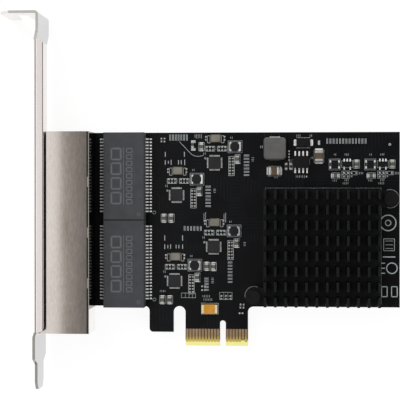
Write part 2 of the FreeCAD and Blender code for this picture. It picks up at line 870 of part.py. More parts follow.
def make_chip_parts(places):
    """Every chip part in a list of places."""
    return group(placed(chip_part(size), x, y, turn) for size, x, y, turn in places)


def all_capacitors():
    places = list(LOOSE_CAPACITORS)
    for x, y in CHANNELS:
        places += channel_capacitors(x, y)
    for shift in REGULATOR_SHIFTS:
        places += shifted(REGULATOR_CAPACITORS, shift)
    return places


def all_resistors():
    places = list(LOOSE_RESISTORS)
    for x, y in CHANNELS:
        places += channel_resistors(x, y)
    for shift in REGULATOR_SHIFTS:
        places += shifted(REGULATOR_RESISTORS, shift)
    return places


def make_capacitors(sizes):
    return make_chip_parts([place for place in all_capacitors() if place[0] in sizes])


# ---- the card -----------------------------------------------------------------------


def board_and_bracket():
    return {
        "circuit_board": make_board(),
        "edge_contacts": make_edge_contacts(),
        "slot_bracket": make_bracket(),
        "bracket_screws": make_bracket_screws(),
    }


def jack_nodes():
    contacts = make_jack_contacts()
    return {
        "jack_shield": make_jack_shield(),
        "jack_rear_cover": make_jack_rear_cover(),
        "jack_housing": make_jack_housing(),
        "jack_contacts": contacts,
        "jack_pins": make_jack_pins(),
        "link_lights": make_leds(-1),
        "activity_lights": make_leds(1),
    }


def transformer_nodes():
    nodes = {}
    for name, low in MODULE_LOWS.items():
        nodes["transformer_" + name] = make_transformer(low)
        nodes["transformer_leads_" + name] = make_transformer_leads(low)
    return nodes


def cooling_nodes():
    return {
        "heat_sink": make_heat_sink(),
        "thermal_pad": centred_plate(15.0, 1.3, SINK_BASE_LOW),
        "switch_chip": centred_plate(14.0, 0.1, 1.3),
        "push_pins": make_push_pins(),
        "push_pin_springs": make_push_pin_springs(),
    }


def channel_nodes():
    """The chip, crystal and core inductor of each of the four channels."""
    nodes = {}
    terminals = []
    for number, (x, y) in enumerate(CHANNELS, start=1):
        nodes["ethernet_chip_%d" % number] = make_ethernet_chip(x, y)
        base, lid = make_crystal(x + CRYSTAL_OFFSET[0], y + CRYSTAL_OFFSET[1])
        nodes["crystal_base_%d" % number] = base
        nodes["crystal_lid_%d" % number] = lid
        core_x = x + INDUCTOR_OFFSET[0]
        core_y = y + INDUCTOR_OFFSET[1]
        core = inductor_body(core_x, core_y, 3.5, 0.5, 2.0)
        nodes["core_inductor_%d" % number] = core
        terminals += end_terminals(core_x, core_y, 3.5, 2.6, 0)
    nodes["core_inductor_terminals"] = group(terminals)
    return nodes


def power_nodes():
    """The input converter and the two small regulators along the top edge."""
    choke = (16.8, 63.6)
    nodes = {"power_inductor": inductor_body(choke[0], choke[1], 7.1, 1.3, 4.0)}
    nodes["power_inductor_terminals"] = group(end_terminals(choke[0], choke[1], 7.1, 3.4, 90))
    regulator = (25.2, 59.3)
    nodes["switching_regulator"] = placed(small_outline_package(4.9, 3.9, 1.6), *regulator)
    lead = gull_wing(1.05, 0.3, 0.95, 0.2, 0.42)
    places = [((index - 1.5) * 1.27, side) for index in range(4) for side in (-1, 1)]
    leads = [placed(part, *regulator) for part in row_leads(places, 3.9, lead)]
    nodes["switching_regulator_leads"] = group(leads)
    diode = (25.9, 65.5)
    nodes["power_diode"] = placed(small_outline_package(4.2, 2.6, 2.1), *diode)
    tongue = block((2.1, 2.6), (-0.75, 0.75), (SEAT, 1.1))
    straps = [placed(tongue, diode[0], diode[1], turn) for turn in (0, 180)]
    nodes["power_diode_terminals"] = group(straps)
    bodies = []
    cores = []
    small_leads = []
    core_ends = []
    small_lead = side_lead(0.6, 0.6, 0.15, 0.4)
    small_places = ((-0.95, -1), (0.95, -1), (-0.95, 1), (0.0, 1), (0.95, 1))
    for shift in REGULATOR_SHIFTS:
        spot = (39.9 + shift, 58.6)
        bodies.append(placed(small_outline_package(2.9, 1.6, 1.1), *spot))
        small_leads += [placed(part, *spot) for part in row_leads(small_places, 1.6, small_lead)]
        core = (35.9 + shift, 58.5)
        cores.append(inductor_body(core[0], core[1], 2.9, 0.3, 1.5))
        core_ends += end_terminals(core[0], core[1], 2.9, 2.4, 0)
    nodes["small_regulators"] = group(bodies)
    nodes["small_regulator_leads"] = group(small_leads)
    nodes["small_inductors"] = group(cores)
    nodes["small_inductor_terminals"] = group(core_ends)
    return nodes


def capacitor_nodes():
    nodes = {}
    tantalum = (-4.2, 12.0)
    nodes["tantalum_capacitor"] = placed(block((-1.75, 1.75), (-1.5, 1.5), (0.2, 2.6)), *tantalum)
    end = block((1.75, 2.5), (-1.35, 1.35), (SEAT, 2.4))
    ends = [placed(end, tantalum[0], tantalum[1], turn) for turn in (0, 180)]
    nodes["tantalum_capacitor_ends"] = group(ends)
    nodes["small_capacitors"] = make_capacitors(("0402", "0603"))
    nodes["large_capacitors"] = make_capacitors(("0805", "1210"))
    nodes["resistors"] = make_chip_parts(all_resistors())
    return nodes


def main():
    os.makedirs("parts", exist_ok=True)
    nodes = {}
    for make in (
        board_and_bracket,
        jack_nodes,
        transformer_nodes,
        cooling_nodes,
        channel_nodes,
        power_nodes,
        capacitor_nodes,
    ):
        nodes.update(make())
    for name, shape in nodes.items():
        shape.exportStep("parts/%s.step" % name)
        print("%-28s %3d solids %9.2f mm3" % (name, len(shape.Solids), shape.Volume))


main()
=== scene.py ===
# %% [markdown]
# # A four-port network interface card
#
# The card is a black circuit board behind a bright steel bracket.  Its solid shapes
# already exist as a frame of named nodes; this lesson gives them their finishes, and
# adds what is too fine for the solids: solder, print, coil springs, screw recesses and
# the chip parts with their metal ends.  Everything stays where the frame has it.

# %% Load the frame
import json
import math
import bmesh
import bpy
from mathutils import Matrix, Vector

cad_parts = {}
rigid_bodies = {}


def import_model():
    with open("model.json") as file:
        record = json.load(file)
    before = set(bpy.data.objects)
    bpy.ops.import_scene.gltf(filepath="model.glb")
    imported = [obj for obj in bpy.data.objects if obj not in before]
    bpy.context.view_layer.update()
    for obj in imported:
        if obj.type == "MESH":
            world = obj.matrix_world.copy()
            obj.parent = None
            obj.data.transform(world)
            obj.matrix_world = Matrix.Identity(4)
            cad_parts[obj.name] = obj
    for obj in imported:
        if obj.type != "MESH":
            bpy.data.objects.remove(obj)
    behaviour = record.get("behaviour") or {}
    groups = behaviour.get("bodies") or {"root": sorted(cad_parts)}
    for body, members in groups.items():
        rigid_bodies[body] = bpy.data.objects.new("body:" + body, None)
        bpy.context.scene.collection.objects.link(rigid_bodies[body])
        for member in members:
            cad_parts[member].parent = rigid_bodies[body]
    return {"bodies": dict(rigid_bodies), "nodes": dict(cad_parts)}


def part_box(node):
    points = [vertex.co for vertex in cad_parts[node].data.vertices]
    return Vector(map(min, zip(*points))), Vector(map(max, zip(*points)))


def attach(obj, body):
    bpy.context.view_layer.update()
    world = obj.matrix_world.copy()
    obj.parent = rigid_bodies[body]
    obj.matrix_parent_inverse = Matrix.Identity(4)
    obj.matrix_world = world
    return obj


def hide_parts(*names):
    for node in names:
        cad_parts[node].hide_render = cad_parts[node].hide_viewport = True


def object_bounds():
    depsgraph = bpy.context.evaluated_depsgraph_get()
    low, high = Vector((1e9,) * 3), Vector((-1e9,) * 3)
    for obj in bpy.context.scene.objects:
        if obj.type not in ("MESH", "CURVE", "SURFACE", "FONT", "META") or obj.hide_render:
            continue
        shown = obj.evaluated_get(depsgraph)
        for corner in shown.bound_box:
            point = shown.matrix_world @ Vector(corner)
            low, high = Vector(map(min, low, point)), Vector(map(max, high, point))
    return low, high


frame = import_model()
NODES = frame["nodes"]
BODY = next(iter(frame["bodies"]))
CAD_BOX = [list(corner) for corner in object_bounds()]
MM = 0.001
print("nodes:", len(NODES), "body:", BODY, "box:", CAD_BOX)

# %% [markdown]
# ## The camera
#
# The card is seen from straight above its component face, a little from the right, as
# it would lie on a studio table.  A long lens nearly half a metre away keeps the
# board's edges almost parallel.  The camera could be turned with three angles; here it
# is aimed from one point at another and kept level with the bracket, which is easier
# to read.

# %% Camera
CAMERA_PLACE = Vector((0.0277, 0.0496, 0.450))
CAMERA_AIM = Vector((-0.0074, 0.0471, 0.0))
CAMERA_LENS = 125.72


def link(thing):
    """Put an object in the scene."""
    bpy.context.scene.collection.objects.link(thing)
    return thing


def aimed(place, aim, along=Vector((0, 1, 0))):
    """A turn that looks from one point at another, with one direction kept upright."""
    ahead = (aim - place).normalized()
    right = ahead.cross(along).normalized()
    return Matrix((right, right.cross(ahead), -ahead)).transposed().to_euler()


camera = link(bpy.data.objects.new("camera", bpy.data.cameras.new("camera")))
camera.location = CAMERA_PLACE
camera.rotation_euler = aimed(CAMERA_PLACE, CAMERA_AIM)
camera.data.lens = CAMERA_LENS
bpy.context.scene.camera = camera
bpy.context.scene.view_settings.view_transform = "Standard"
print("camera to board:", round((CAMERA_PLACE - CAMERA_AIM).length, 3), "m")

# %% [markdown]
# ## Two helpers for every material
#
# Colours are written as the hex codes that a colour picker shows.  Those are sRGB, and
# a shader works in linear light, so one function turns them.  The second function adds
# any node with its settings and its links in one line, so a material reads as a list.

# %% Colour and node helpers
def linear(code):
    """An sRGB hex colour as linear RGBA."""
    shares = [int(code[start:start + 2], 16) / 255 for start in (0, 2, 4)]
    return (*[
        share / 12.92 if share <= 0.04045 else ((share + 0.055) / 1.055) ** 2.4
        for share in shares
    ], 1.0)


def add(tree, kind, inputs=None, **settings):
    """Add one node, make its settings, and set or link its inputs."""
    node = tree.nodes.new(kind)
    for name, value in settings.items():
        setattr(node, name, value)
    for socket, value in (inputs or {}).items():
        if isinstance(value, bpy.types.NodeSocket):
            tree.links.new(value, node.inputs[socket])
        else:
            node.inputs[socket].default_value = value
    return node


print("mid grey in linear light:", [round(share, 3) for share in linear("808080")])

# %% [markdown]
# ## Soft studio light
#
# A card like this is shown in a white tent.  The world lights it evenly, and two large
# soft lamps give the parts a light side and a shade side.  The camera, the metal and
# the glass see the world as white.  A glossy black board would mirror the white roof
# and turn grey, so a studio hangs a grey card over it: here it is a sheet that
# only reflections can see.  Its left edge ends over the jack, and so the shiny shield
# runs from bright to dark across its width.  A low black card at the left draws the
# thin dark line along the bracket's bends.

# %% World and lamps
AMBIENT = 0.62
LAMPS = {
    "key": {"place": Vector((-0.35, 0.50, 0.85)), "size": 0.55, "power": 3.2},
    "fill": {"place": Vector((0.55, -0.10, 0.75)), "size": 0.70, "power": 1.4},
}


def seen_or_mirrored(tree):
    """One for rays from the camera, from gloss and through glass, zero for the rest."""
    rays = add(tree, "ShaderNodeLightPath")
    seen = rays.outputs["Is Camera Ray"]
    for kind in ("Is Glossy Ray", "Is Transmission Ray"):
        seen = add(tree, "ShaderNodeMath", {0: seen, 1: rays.outputs[kind]},
                   operation="MAXIMUM").outputs[0]
    return seen


world = bpy.data.worlds.new("white tent")
bpy.context.scene.world = world
world.use_nodes = True
tree = world.node_tree
level = add(tree, "ShaderNodeMapRange", {"Value": seen_or_mirrored(tree),
            "To Min": AMBIENT, "To Max": 1.0})
background = tree.nodes["Background"]
background.inputs["Color"].default_value = linear("ffffff")
tree.links.new(level.outputs[0], background.inputs["Strength"])

centre = (Vector(CAD_BOX[0]) + Vector(CAD_BOX[1])) / 2
for name, made in LAMPS.items():
    lamp = link(bpy.data.objects.new(name, bpy.data.lights.new(name, "AREA")))
    lamp.data.size = made["size"]
    lamp.data.energy = made["power"]
    lamp.location = made["place"]
    lamp.rotation_euler = aimed(made["place"], centre)
    lamp.visible_glossy = False
print("lamps:", list(LAMPS), "ambient:", AMBIENT)

# %% [markdown]
# ## The floor and the two cards
#
# A purely white floor would lose the shadow, so the paper is mostly a white glow that
# only the camera and reflections see, mixed with a matt white that takes the shadow.
# The grey card darkens from its left edge to the right, and the black one is velvet.

# %% Paper and cards
FLOOR_GLOW, FLOOR_GLOW_SHARE = 1.06, 0.86
ROOF_LEFT, ROOF_DARK_FROM = -0.165, 0.05


def bare_material(name):
    """A material with no node left in it, and its tree."""
    material = bpy.data.materials.new(name)
    material.use_nodes = True
    material.node_tree.nodes.clear()
    return material, material.node_tree


paper, tree = bare_material("white paper sweep")
share = add(tree, "ShaderNodeMath", {0: seen_or_mirrored(tree), 1: FLOOR_GLOW_SHARE},
            operation="MULTIPLY")
matt = add(tree, "ShaderNodeBsdfDiffuse", {"Color": linear("f4f4f4")})
glow = add(tree, "ShaderNodeEmission", {"Color": linear("ffffff"),
           "Strength": FLOOR_GLOW})
blend = add(tree, "ShaderNodeMixShader", {0: share.outputs[0], 1: matt.outputs[0],
            2: glow.outputs[0]})
add(tree, "ShaderNodeOutputMaterial", {"Surface": blend.outputs[0]})

grey_card, tree = bare_material("graded studio card")
where = add(tree, "ShaderNodeTexCoord")
split = add(tree, "ShaderNodeSeparateXYZ", {0: where.outputs["Object"]})
fade = add(tree, "ShaderNodeMapRange", {"Value": split.outputs["X"],
           "From Min": ROOF_LEFT, "From Max": ROOF_DARK_FROM})
grade = add(tree, "ShaderNodeMix", {0: fade.outputs[0], 6: linear("a8a29c"),
            7: linear("6c6b6a")}, data_type="RGBA")
shine = add(tree, "ShaderNodeEmission", {"Color": grade.outputs[2], "Strength": 1.0})
add(tree, "ShaderNodeOutputMaterial", {"Surface": shine.outputs[0]})

black_card, tree = bare_material("black studio card")
velvet = add(tree, "ShaderNodeEmission", {"Color": linear("1c1c1e"), "Strength": 1.0})
add(tree, "ShaderNodeOutputMaterial", {"Surface": velvet.outputs[0]})
print("studio materials:", [made.name for made in (paper, grey_card, black_card)])

# %% [markdown]
# ## Hanging the sheets
#
# The floor is a plane just under the lowest point of the card.  The two studio cards
# are sheets that nothing but reflections can see.  All three belong to the stage and
# not to the model.

# %% Floor and cards
FLOOR_HALF = 1.2
ROOF_SIDE, ROOF_HEIGHT = 1.6, 0.70
SIDE_CARD_X, SIDE_CARD_LENGTH, SIDE_CARD_HEIGHT = -0.40, 1.0, 0.22


def sheet(name, corner, along, across, material):
    """A flat stage sheet from one corner and its two sides."""
    corner, along, across = Vector(corner), Vector(along), Vector(across)
    corners = [corner, corner + along, corner + along + across, corner + across]
    mesh = bpy.data.meshes.new(name)
    mesh.from_pydata(corners, [], [(0, 1, 2, 3)])
    mesh.materials.append(material)
    thing = link(bpy.data.objects.new(name, mesh))
    return thing


floor_z = CAD_BOX[0][2] - 0.2 * MM
sheet("floor", (-FLOOR_HALF, -FLOOR_HALF, floor_z), (2 * FLOOR_HALF, 0, 0),
      (0, 2 * FLOOR_HALF, 0), paper)
cards = [
    sheet("roof_card", (ROOF_LEFT, -ROOF_SIDE / 2, ROOF_HEIGHT), (ROOF_SIDE, 0, 0),
          (0, ROOF_SIDE, 0), grey_card),
    sheet("side_card", (SIDE_CARD_X, -SIDE_CARD_LENGTH / 2, floor_z + 2 * MM),
          (0, SIDE_CARD_LENGTH, 0), (0, 0, SIDE_CARD_HEIGHT), black_card)]
for card in cards:
    card.visible_camera = False
    card.visible_diffuse = False
    card.visible_shadow = False
    card.visible_transmission = False
print("floor height:", round(floor_z, 4), "cards:", [card.name for card in cards])

# %% [markdown]
# ## A recipe for plain finishes
#
# Most finishes here are one colour to the eye and never quite one colour close up.
# Moulding, plating and printing all leave a fine grain and broader clouds.  One recipe
# makes both from the object's own coordinates, in millimetres, and uses them three
# times: for the colour, for the gloss and for a shallow relief.  Each finish then
# differs in its numbers and in what is added on top: a tint in one place, or one more
# relief.

# %% The recipe
CLOUD_TO_GRAIN, CLOUD_SHARE = 14, 0.45
FINISHES = {}


def grained(key, name, dark, light, grain, gloss, relief=0.004, stretch=(1, 1, 1),
            gloss_range=0.06, **settings):
    """Keep a finish with fine grain (mm) and clouds; relief is its depth in mm."""
    material = bpy.data.materials.new(name)
    material.use_nodes = True
    tree = material.node_tree
    shader = tree.nodes["Principled BSDF"]
    for socket, value in settings.items():
        shader.inputs[socket.replace("_", " ")].default_value = value
    where = add(tree, "ShaderNodeTexCoord")
    drawn = add(tree, "ShaderNodeMapping", {"Vector": where.outputs["Object"],
                "Scale": stretch})
    fine = add(tree, "ShaderNodeTexNoise", {"Vector": drawn.outputs[0],
               "Scale": 1 / (grain * MM), "Detail": 3.0, "Roughness": 0.6})
    clouds = add(tree, "ShaderNodeTexNoise", {"Vector": drawn.outputs[0],
                 "Scale": 1 / (grain * CLOUD_TO_GRAIN * MM), "Detail": 2.0})
    mixed = add(tree, "ShaderNodeMix", {0: CLOUD_SHARE, 2: fine.outputs[0],
                3: clouds.outputs[0]}, data_type="FLOAT")
    spread = add(tree, "ShaderNodeMapRange", {"Value": mixed.outputs[0],
                 "From Min": 0.35, "From Max": 0.65})
    tint = add(tree, "ShaderNodeMix", {0: spread.outputs[0], 6: linear(dark),
               7: linear(light)}, data_type="RGBA")
    rough = add(tree, "ShaderNodeMapRange", {"Value": mixed.outputs[0],
                "From Min": 0.3, "From Max": 0.7, "To Min": gloss - gloss_range,
                "To Max": gloss + gloss_range})
    raised = add(tree, "ShaderNodeBump", {"Height": fine.outputs[0],
                 "Distance": relief * MM, "Strength": 0.5})
    tree.links.new(tint.outputs[2], shader.inputs["Base Color"])
    tree.links.new(rough.outputs[0], shader.inputs["Roughness"])
    tree.links.new(raised.outputs[0], shader.inputs["Normal"])
    FINISHES[key] = {"material": material, "tree": tree, "shader": shader,
                     "where": where}
    return FINISHES[key]


print("clouds are", CLOUD_TO_GRAIN, "times as wide as the grain")

# %% [markdown]
# ## What is laid over a finish
#
# Real parts are not the same all over: an edge is sheared, a bevel ground, a seam dark.
# A mask that is one in a place and zero elsewhere picks where another colour is mixed
# in, and one more bump can ride on the relief that is already there.

# %% Masks, tints and reliefs
def beyond(part, axis, edge, test="GREATER_THAN"):
    """One where the object's own coordinate is past an edge, zero elsewhere."""
    split = add(part["tree"], "ShaderNodeSeparateXYZ",
                {0: part["where"].outputs["Object"]})
    return add(part["tree"], "ShaderNodeMath", {0: split.outputs[axis], 1: edge},
               operation=test).outputs[0]


def tint_where(part, masks, colour):
    """Lay another colour over a finish where all of the masks are one."""
    tree, base = part["tree"], part["shader"].inputs["Base Color"]
    overlap = masks[0]
    for mask in masks[1:]:
        overlap = add(tree, "ShaderNodeMath", {0: overlap, 1: mask},
                      operation="MULTIPLY").outputs[0]
    laid_over = add(tree, "ShaderNodeMix", {0: overlap, 6: base.links[0].from_socket,
                    7: colour}, data_type="RGBA")
    tree.links.new(laid_over.outputs[2], base)


def raise_by(part, height, distance, strength):
    """Lay one more relief over the one that a finish has."""
    tree, normal = part["tree"], part["shader"].inputs["Normal"]
    raised = add(tree, "ShaderNodeBump", {"Height": height, "Distance": distance,
                 "Strength": strength, "Normal": normal.links[0].from_socket})
    tree.links.new(raised.outputs[0], normal)


print("a mask is one where a coordinate is past an edge, in metres")

# %% [markdown]
# ## Plastics, rubber and moulded epoxy
#
# * Chip packages are black epoxy filled with glass powder: matt, with a fine sparkle.
# * The network transformers are a greyer epoxy from a bead-blasted mould.
# * The jack's inner housing and the push pins are black nylon, a little waxy.
# * The pad under the heat sink is a soft grey filled rubber.

# %% Moulded finishes
grained("dark_epoxy", "plain black epoxy", "0f0f11", "171719", 0.12, 0.5,
        Specular_IOR_Level=0.22)
grained("chip_epoxy", "glass-filled epoxy", "1b1c1e", "252628", 0.12, 0.55,
        Specular_IOR_Level=0.35)
grained("module_plastic", "blasted grey epoxy", "3d3f42", "494b4e", 0.22, 0.66,
        relief=0.010, Specular_IOR_Level=0.22)
grained("jack_plastic", "black glass-filled nylon", "121214", "1b1b1e", 0.3, 0.45)
grained("pin_plastic", "black nylon", "0e0e10", "161719", 0.25, 0.38,
        Specular_IOR_Level=0.25)
grained("thermal_rubber", "silicone thermal pad", "6f767c", "868d92", 0.35, 0.7)
grained("ferrite", "sintered ferrite", "121213", "1d1d1f", 0.10, 0.5, relief=0.010,
        Specular_IOR_Level=0.3)
grained("inductor_resin", "magnetic grey resin", "55535a", "6a6870", 0.14, 0.6,
        Specular_IOR_Level=0.3)
grained("power_ferrite", "pressed iron powder", "525150", "605f5e", 0.16, 0.58,
        relief=0.012, gloss_range=0.1)
print("moulded finishes:", sorted(FINISHES))

# %% [markdown]
# ## Fired and coated chip parts
#
# Multilayer capacitors are fired barium titanate, a warm grey-brown with a faint
# satin.  Chip resistors have a black glaze over white alumina.  The tantalum capacitor
# is dipped in a bright orange epoxy, and the crystals are alumina boats.

# %% Ceramic and resin
grained("small_ceramic", "dark fired titanate", "3d3a34", "57524a", 0.10, 0.42,
        Specular_IOR_Level=0.4)
grained("capacitor_ceramic", "fired barium titanate", "4a4740", "625e53", 0.10, 0.42,
        Specular_IOR_Level=0.4)
grained("brown_ceramic", "brown fired titanate", "4e4132", "675744", 0.10, 0.42,
        Specular_IOR_Level=0.4)
grained("resistor_glaze", "black glass glaze", "1a1a1d", "26262a", 0.08, 0.28)
grained("alumina", "white alumina", "8f8d88", "a9a7a2", 0.08, 0.5)
grained("tantalum_resin", "orange tantalum resin", "bf7f1e", "d39731", 0.15, 0.36)
grained("crystal_ceramic", "brown alumina boat", "5e574a", "777061", 0.12, 0.5)
print("ceramic finishes ready")

# %% [markdown]
# ## Metals
#
# A metal's colour is its reflection, so the default IOR stays and the base colour is
# the plating's.  What differs is how the surface was made.  The bracket is sheet steel
# brushed along its length and nickel plated, so its grain is stretched forty times
# along Y.  The jack's shield is bright tin over rolled steel.  Solder is a dull tin
# that froze in small facets, and crystal lids are plated with a warm nickel.

# %% Metal finishes
grained("nickel_sheet", "brushed nickel steel", "e1d9d6", "f4edea", 0.10, 0.14,
        relief=0.0012, stretch=(1, 0.025, 1), gloss_range=0.04, Metallic=1.0)
grained("tinned_shield", "bright tinned steel", "cfc6bf", "e2dad4", 0.35, 0.17,
        relief=0.001, stretch=(1, 0.2, 1), gloss_range=0.04, Metallic=1.0)
grained("bright_cover", "satin tinned steel", "efedea", "fbfaf8", 0.35, 0.13,
        relief=0.001, gloss_range=0.02, Metallic=1.0)
grained("zinc_screw", "bright zinc plating", "c9c9c6", "dededb", 0.15, 0.24,
        Metallic=1.0)
grained("solder_tin", "frozen tin solder", "c6c6c2", "f0f0ec", 0.14, 0.32, relief=0.020,
        gloss_range=0.1, Metallic=0.45)
grained("dipped_tin", "dipped tin ends", "c4c4c1", "e2e2df", 0.10, 0.24, relief=0.012,
        gloss_range=0.08, Metallic=0.55)
grained("bright_tin", "bright tin plating", "ecece9", "fcfcf9", 0.12, 0.26,
        relief=0.006, Metallic=0.12)
grained("formed_tin", "formed tin plating", "f2f2ef", "fdfdfb", 0.12, 0.26,
        relief=0.006, Metallic=0.12)
grained("bright_shoe", "polished tin shoe", "e6e4e6", "f8f6f8", 0.2, 0.2, relief=0.002,
        Metallic=0.6)
grained("cream_tin", "flux-tinted tin", "ead9a8", "f9efcd", 0.12, 0.3, relief=0.006,
        Metallic=0.2)
grained("gold_wire", "gold flash on bronze", "d9a441", "efc46a", 0.2, 0.22,
        Metallic=1.0)
grained("gold_fingers", "hard gold plating", "a98d6c", "c9ab86", 0.25, 0.34,
        relief=0.002, stretch=(1, 0.1, 1), Metallic=0.7)
grained("crystal_metal", "plated crystal lid", "87857a", "9f9c90", 0.2, 0.34,
        relief=0.006, Metallic=0.55)
grained("spring_steel", "black phosphate steel", "3a3a3c", "58585a", 0.12, 0.32,
        Metallic=1.0)
grained("black_anodised", "black anodised aluminium", "101112", "1a1b1c", 0.18, 0.48,
        stretch=(1, 0.08, 1), Specular_IOR_Level=0.2)
print("metal finishes:", len(FINISHES))

# %% [markdown]
# ## Bends that face the board
#
# The steep part of a bent lead mirrors the black board beside it, so from above it looks
# like a dark gap between a bright shoulder and a bright foot.  That reflection is painted:
# the lead carries an attribute which is one on its steep part and zero elsewhere, and the
# finish paints a near-black reflection there.  A rougher metal would spread the light of
# the tent into the gap and lose it.

# %% Painted reflection on the bends
leads = FINISHES["formed_tin"]
painted_reflection = add(leads["tree"], "ShaderNodeAttribute", attribute_name="painted_reflection")
# Painted reflection: where the steep part would mirror the black board, its colour is
# tinted near black.
tint_where(leads, [painted_reflection.outputs["Fac"]], linear("1d1c1b"))
print("lead finish reads:", painted_reflection.attribute_name)

# %% [markdown]
# ## Clips of the power inductor
#
# The power inductor's two clips come out of the press under its body.  The lower one lies
# in the shade under the body, so only the upper one is bright, and that shade is painted.
# Both are in one node, so the painted shade is a tint that reaches up to the middle of the
# body.

# %% Painted shade on the lower clip
clip = grained("clip_tin", "clip tin", "d9d9d6", "f2f2ef", 0.12, 0.26, Metallic=0.12)
clip_low, clip_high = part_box("power_inductor")
painted_shade_edge = (clip_low.y + clip_high.y) / 2
# Painted shade: the clip below the body's middle is tinted dark grey.
tint_where(clip, [beyond(clip, "Y", painted_shade_edge, "LESS_THAN")], linear("45444a"))
print("painted_shade below Y =", round(painted_shade_edge / MM, 1), "mm")

# %% [markdown]
# ## The shield's crown
#
# Thin sheet stretched over four ports is never quite flat: it crowns a little from left to
# right.  The eye only notices it in the reflection, which slides from the white tent to
# the grey card.  A bump whose height is a parabola across X gives that slope without
# changing the shape.  At its rear edge the sheet folds into a seam against the rear cover,
# and the shade in that seam is painted as a dark strip.

# %% Crown on the shield
CROWN = 6.45
CROWN_RIDGE_INSET = 9.2 * MM
SHADED_SEAM_WIDTH = 0.45 * MM
shield = FINISHES["tinned_shield"]
tree = shield["tree"]
shield_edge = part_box("jack_shield")[1].x
split = add(tree, "ShaderNodeSeparateXYZ", {0: shield["where"].outputs["Object"]})
offset = add(tree, "ShaderNodeMath", {0: split.outputs["X"],
             1: shield_edge - CROWN_RIDGE_INSET}, operation="SUBTRACT")
square = add(tree, "ShaderNodeMath", {0: offset.outputs[0], 1: offset.outputs[0]},
             operation="MULTIPLY")
height = add(tree, "ShaderNodeMath", {0: square.outputs[0], 1: -CROWN},
             operation="MULTIPLY")
raise_by(shield, height.outputs[0], 1.0, 1.0)
# Painted shade: a narrow strip along the shield's rear edge is tinted near black.
tint_where(shield, [beyond(shield, "X", shield_edge - SHADED_SEAM_WIDTH)], linear("1c1917"))
print("slope at 9 mm from the ridge:", round(2 * CROWN * 9 * MM, 3))

# %% [markdown]
# ## The rear cover
#
# The cover's sheared top edge is dull.  Beside the modules its face would mirror the black
# board, and that dark reflection is painted into its colour; past them it is bare.  Both
# are told by position: a hair's breadth under the top, and past the lower module's own
# edge.

# %% Tints on the rear cover
HAIR = 0.05 * MM
cover = FINISHES["bright_cover"]
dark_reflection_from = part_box("transformer_lower")[0].y
sheared_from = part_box("jack_rear_cover")[1].z - HAIR
# Painted reflection: the face beside the modules is tinted dark, in place of the black
# board that it would mirror.
tint_where(cover, [beyond(cover, "Y", dark_reflection_from)], linear("403e3b"))
tint_where(cover, [beyond(cover, "Z", sheared_from)], linear("bdbab4"))
print("flux from Y =", round(dark_reflection_from / MM, 2), "sheared from Z =",
      round(sheared_from / MM, 2))

# %% [markdown]
# ## Sheared steel and painted shade
#
# Above its folded flange the bracket's sheared edge is tinted a little greyer than the
# rolled face.  The insides of the joggled neck and of the tongue are tinted a little
# greyer: that is painted shade.  The tongue's edge is tinted darkest, as a painted shadow
# line along it.  These places are told apart by position and, on the tongue, by the way
# the surface faces: the flange's two ends, the outer face and the plane of the neck's edge
# are measured on the bracket's own mesh.

# %% Edge, joggle and painted shade of the bracket
NEAR_CORNER, WELL_PAST, UPWARD = 2 * MM, 5 * MM, 0.4
nickel = FINISHES["nickel_sheet"]
tree = nickel["tree"]
steel = [vertex.co for vertex in NODES["slot_bracket"].data.vertices]
front = max(point.z for point in steel)
flange = [point for point in steel if point.z > front - HAIR]
flange_x = max(point.x for point in flange)
folded = [point.y for point in flange if point.x > flange_x - NEAR_CORNER]
flange_foot, flange_top = min(folded), max(folded)
outer = min(point.x for point in steel if flange_foot < point.y < flange_top)
tongue = min(point.x for point in steel if point.y < flange_foot - WELL_PAST)
neck_edge = max(point.z for point in steel if point.y > flange_top + WELL_PAST)

above = beyond(nickel, "Y", flange_top)
below = beyond(nickel, "Y", flange_foot, "LESS_THAN")
unfolded = add(tree, "ShaderNodeMath", {0: above, 1: below}, operation="ADD")
split = add(tree, "ShaderNodeSeparateXYZ", {0: nickel["where"].outputs["Object"]})
level = add(tree, "ShaderNodeMath", {0: below, 1: outer - tongue,
            2: split.outputs["X"]}, operation="MULTIPLY_ADD")
inside = add(tree, "ShaderNodeMath", {0: level.outputs[0], 1: outer + HAIR},
             operation="GREATER_THAN")
turned = add(tree, "ShaderNodeSeparateXYZ", {0: nickel["where"].outputs["Normal"]})
upward = add(tree, "ShaderNodeMath", {0: turned.outputs["Z"], 1: UPWARD},
             operation="GREATER_THAN")
# Painted shade: the inner faces above and below the flange are tinted greyer.
tint_where(nickel, [unfolded.outputs[0], inside.outputs[0]], linear("c6c5c7"))
tint_where(nickel, [beyond(nickel, "Z", neck_edge - HAIR), above], linear("bebbb7"))
# Painted shadow line: the tongue's upward-facing edge is tinted darkest.
tint_where(nickel, [upward.outputs[0], below], linear("9a9692"))
print("flange ends at Y =", round(flange_top / MM, 1), "neck's edge at Z =",
      round(neck_edge / MM, 1))

# %% [markdown]
# ## Solder mask over copper
#
# The board is black lacquer over etched copper on glass cloth.  The copper shows as
# faint runs, slightly lighter and slightly raised.  They follow a few directions in
# patches, so a cell pattern picks, patch by patch, whether the runs go across or
# along.  Real ones are finer; these are as coarse as they need to be to show.

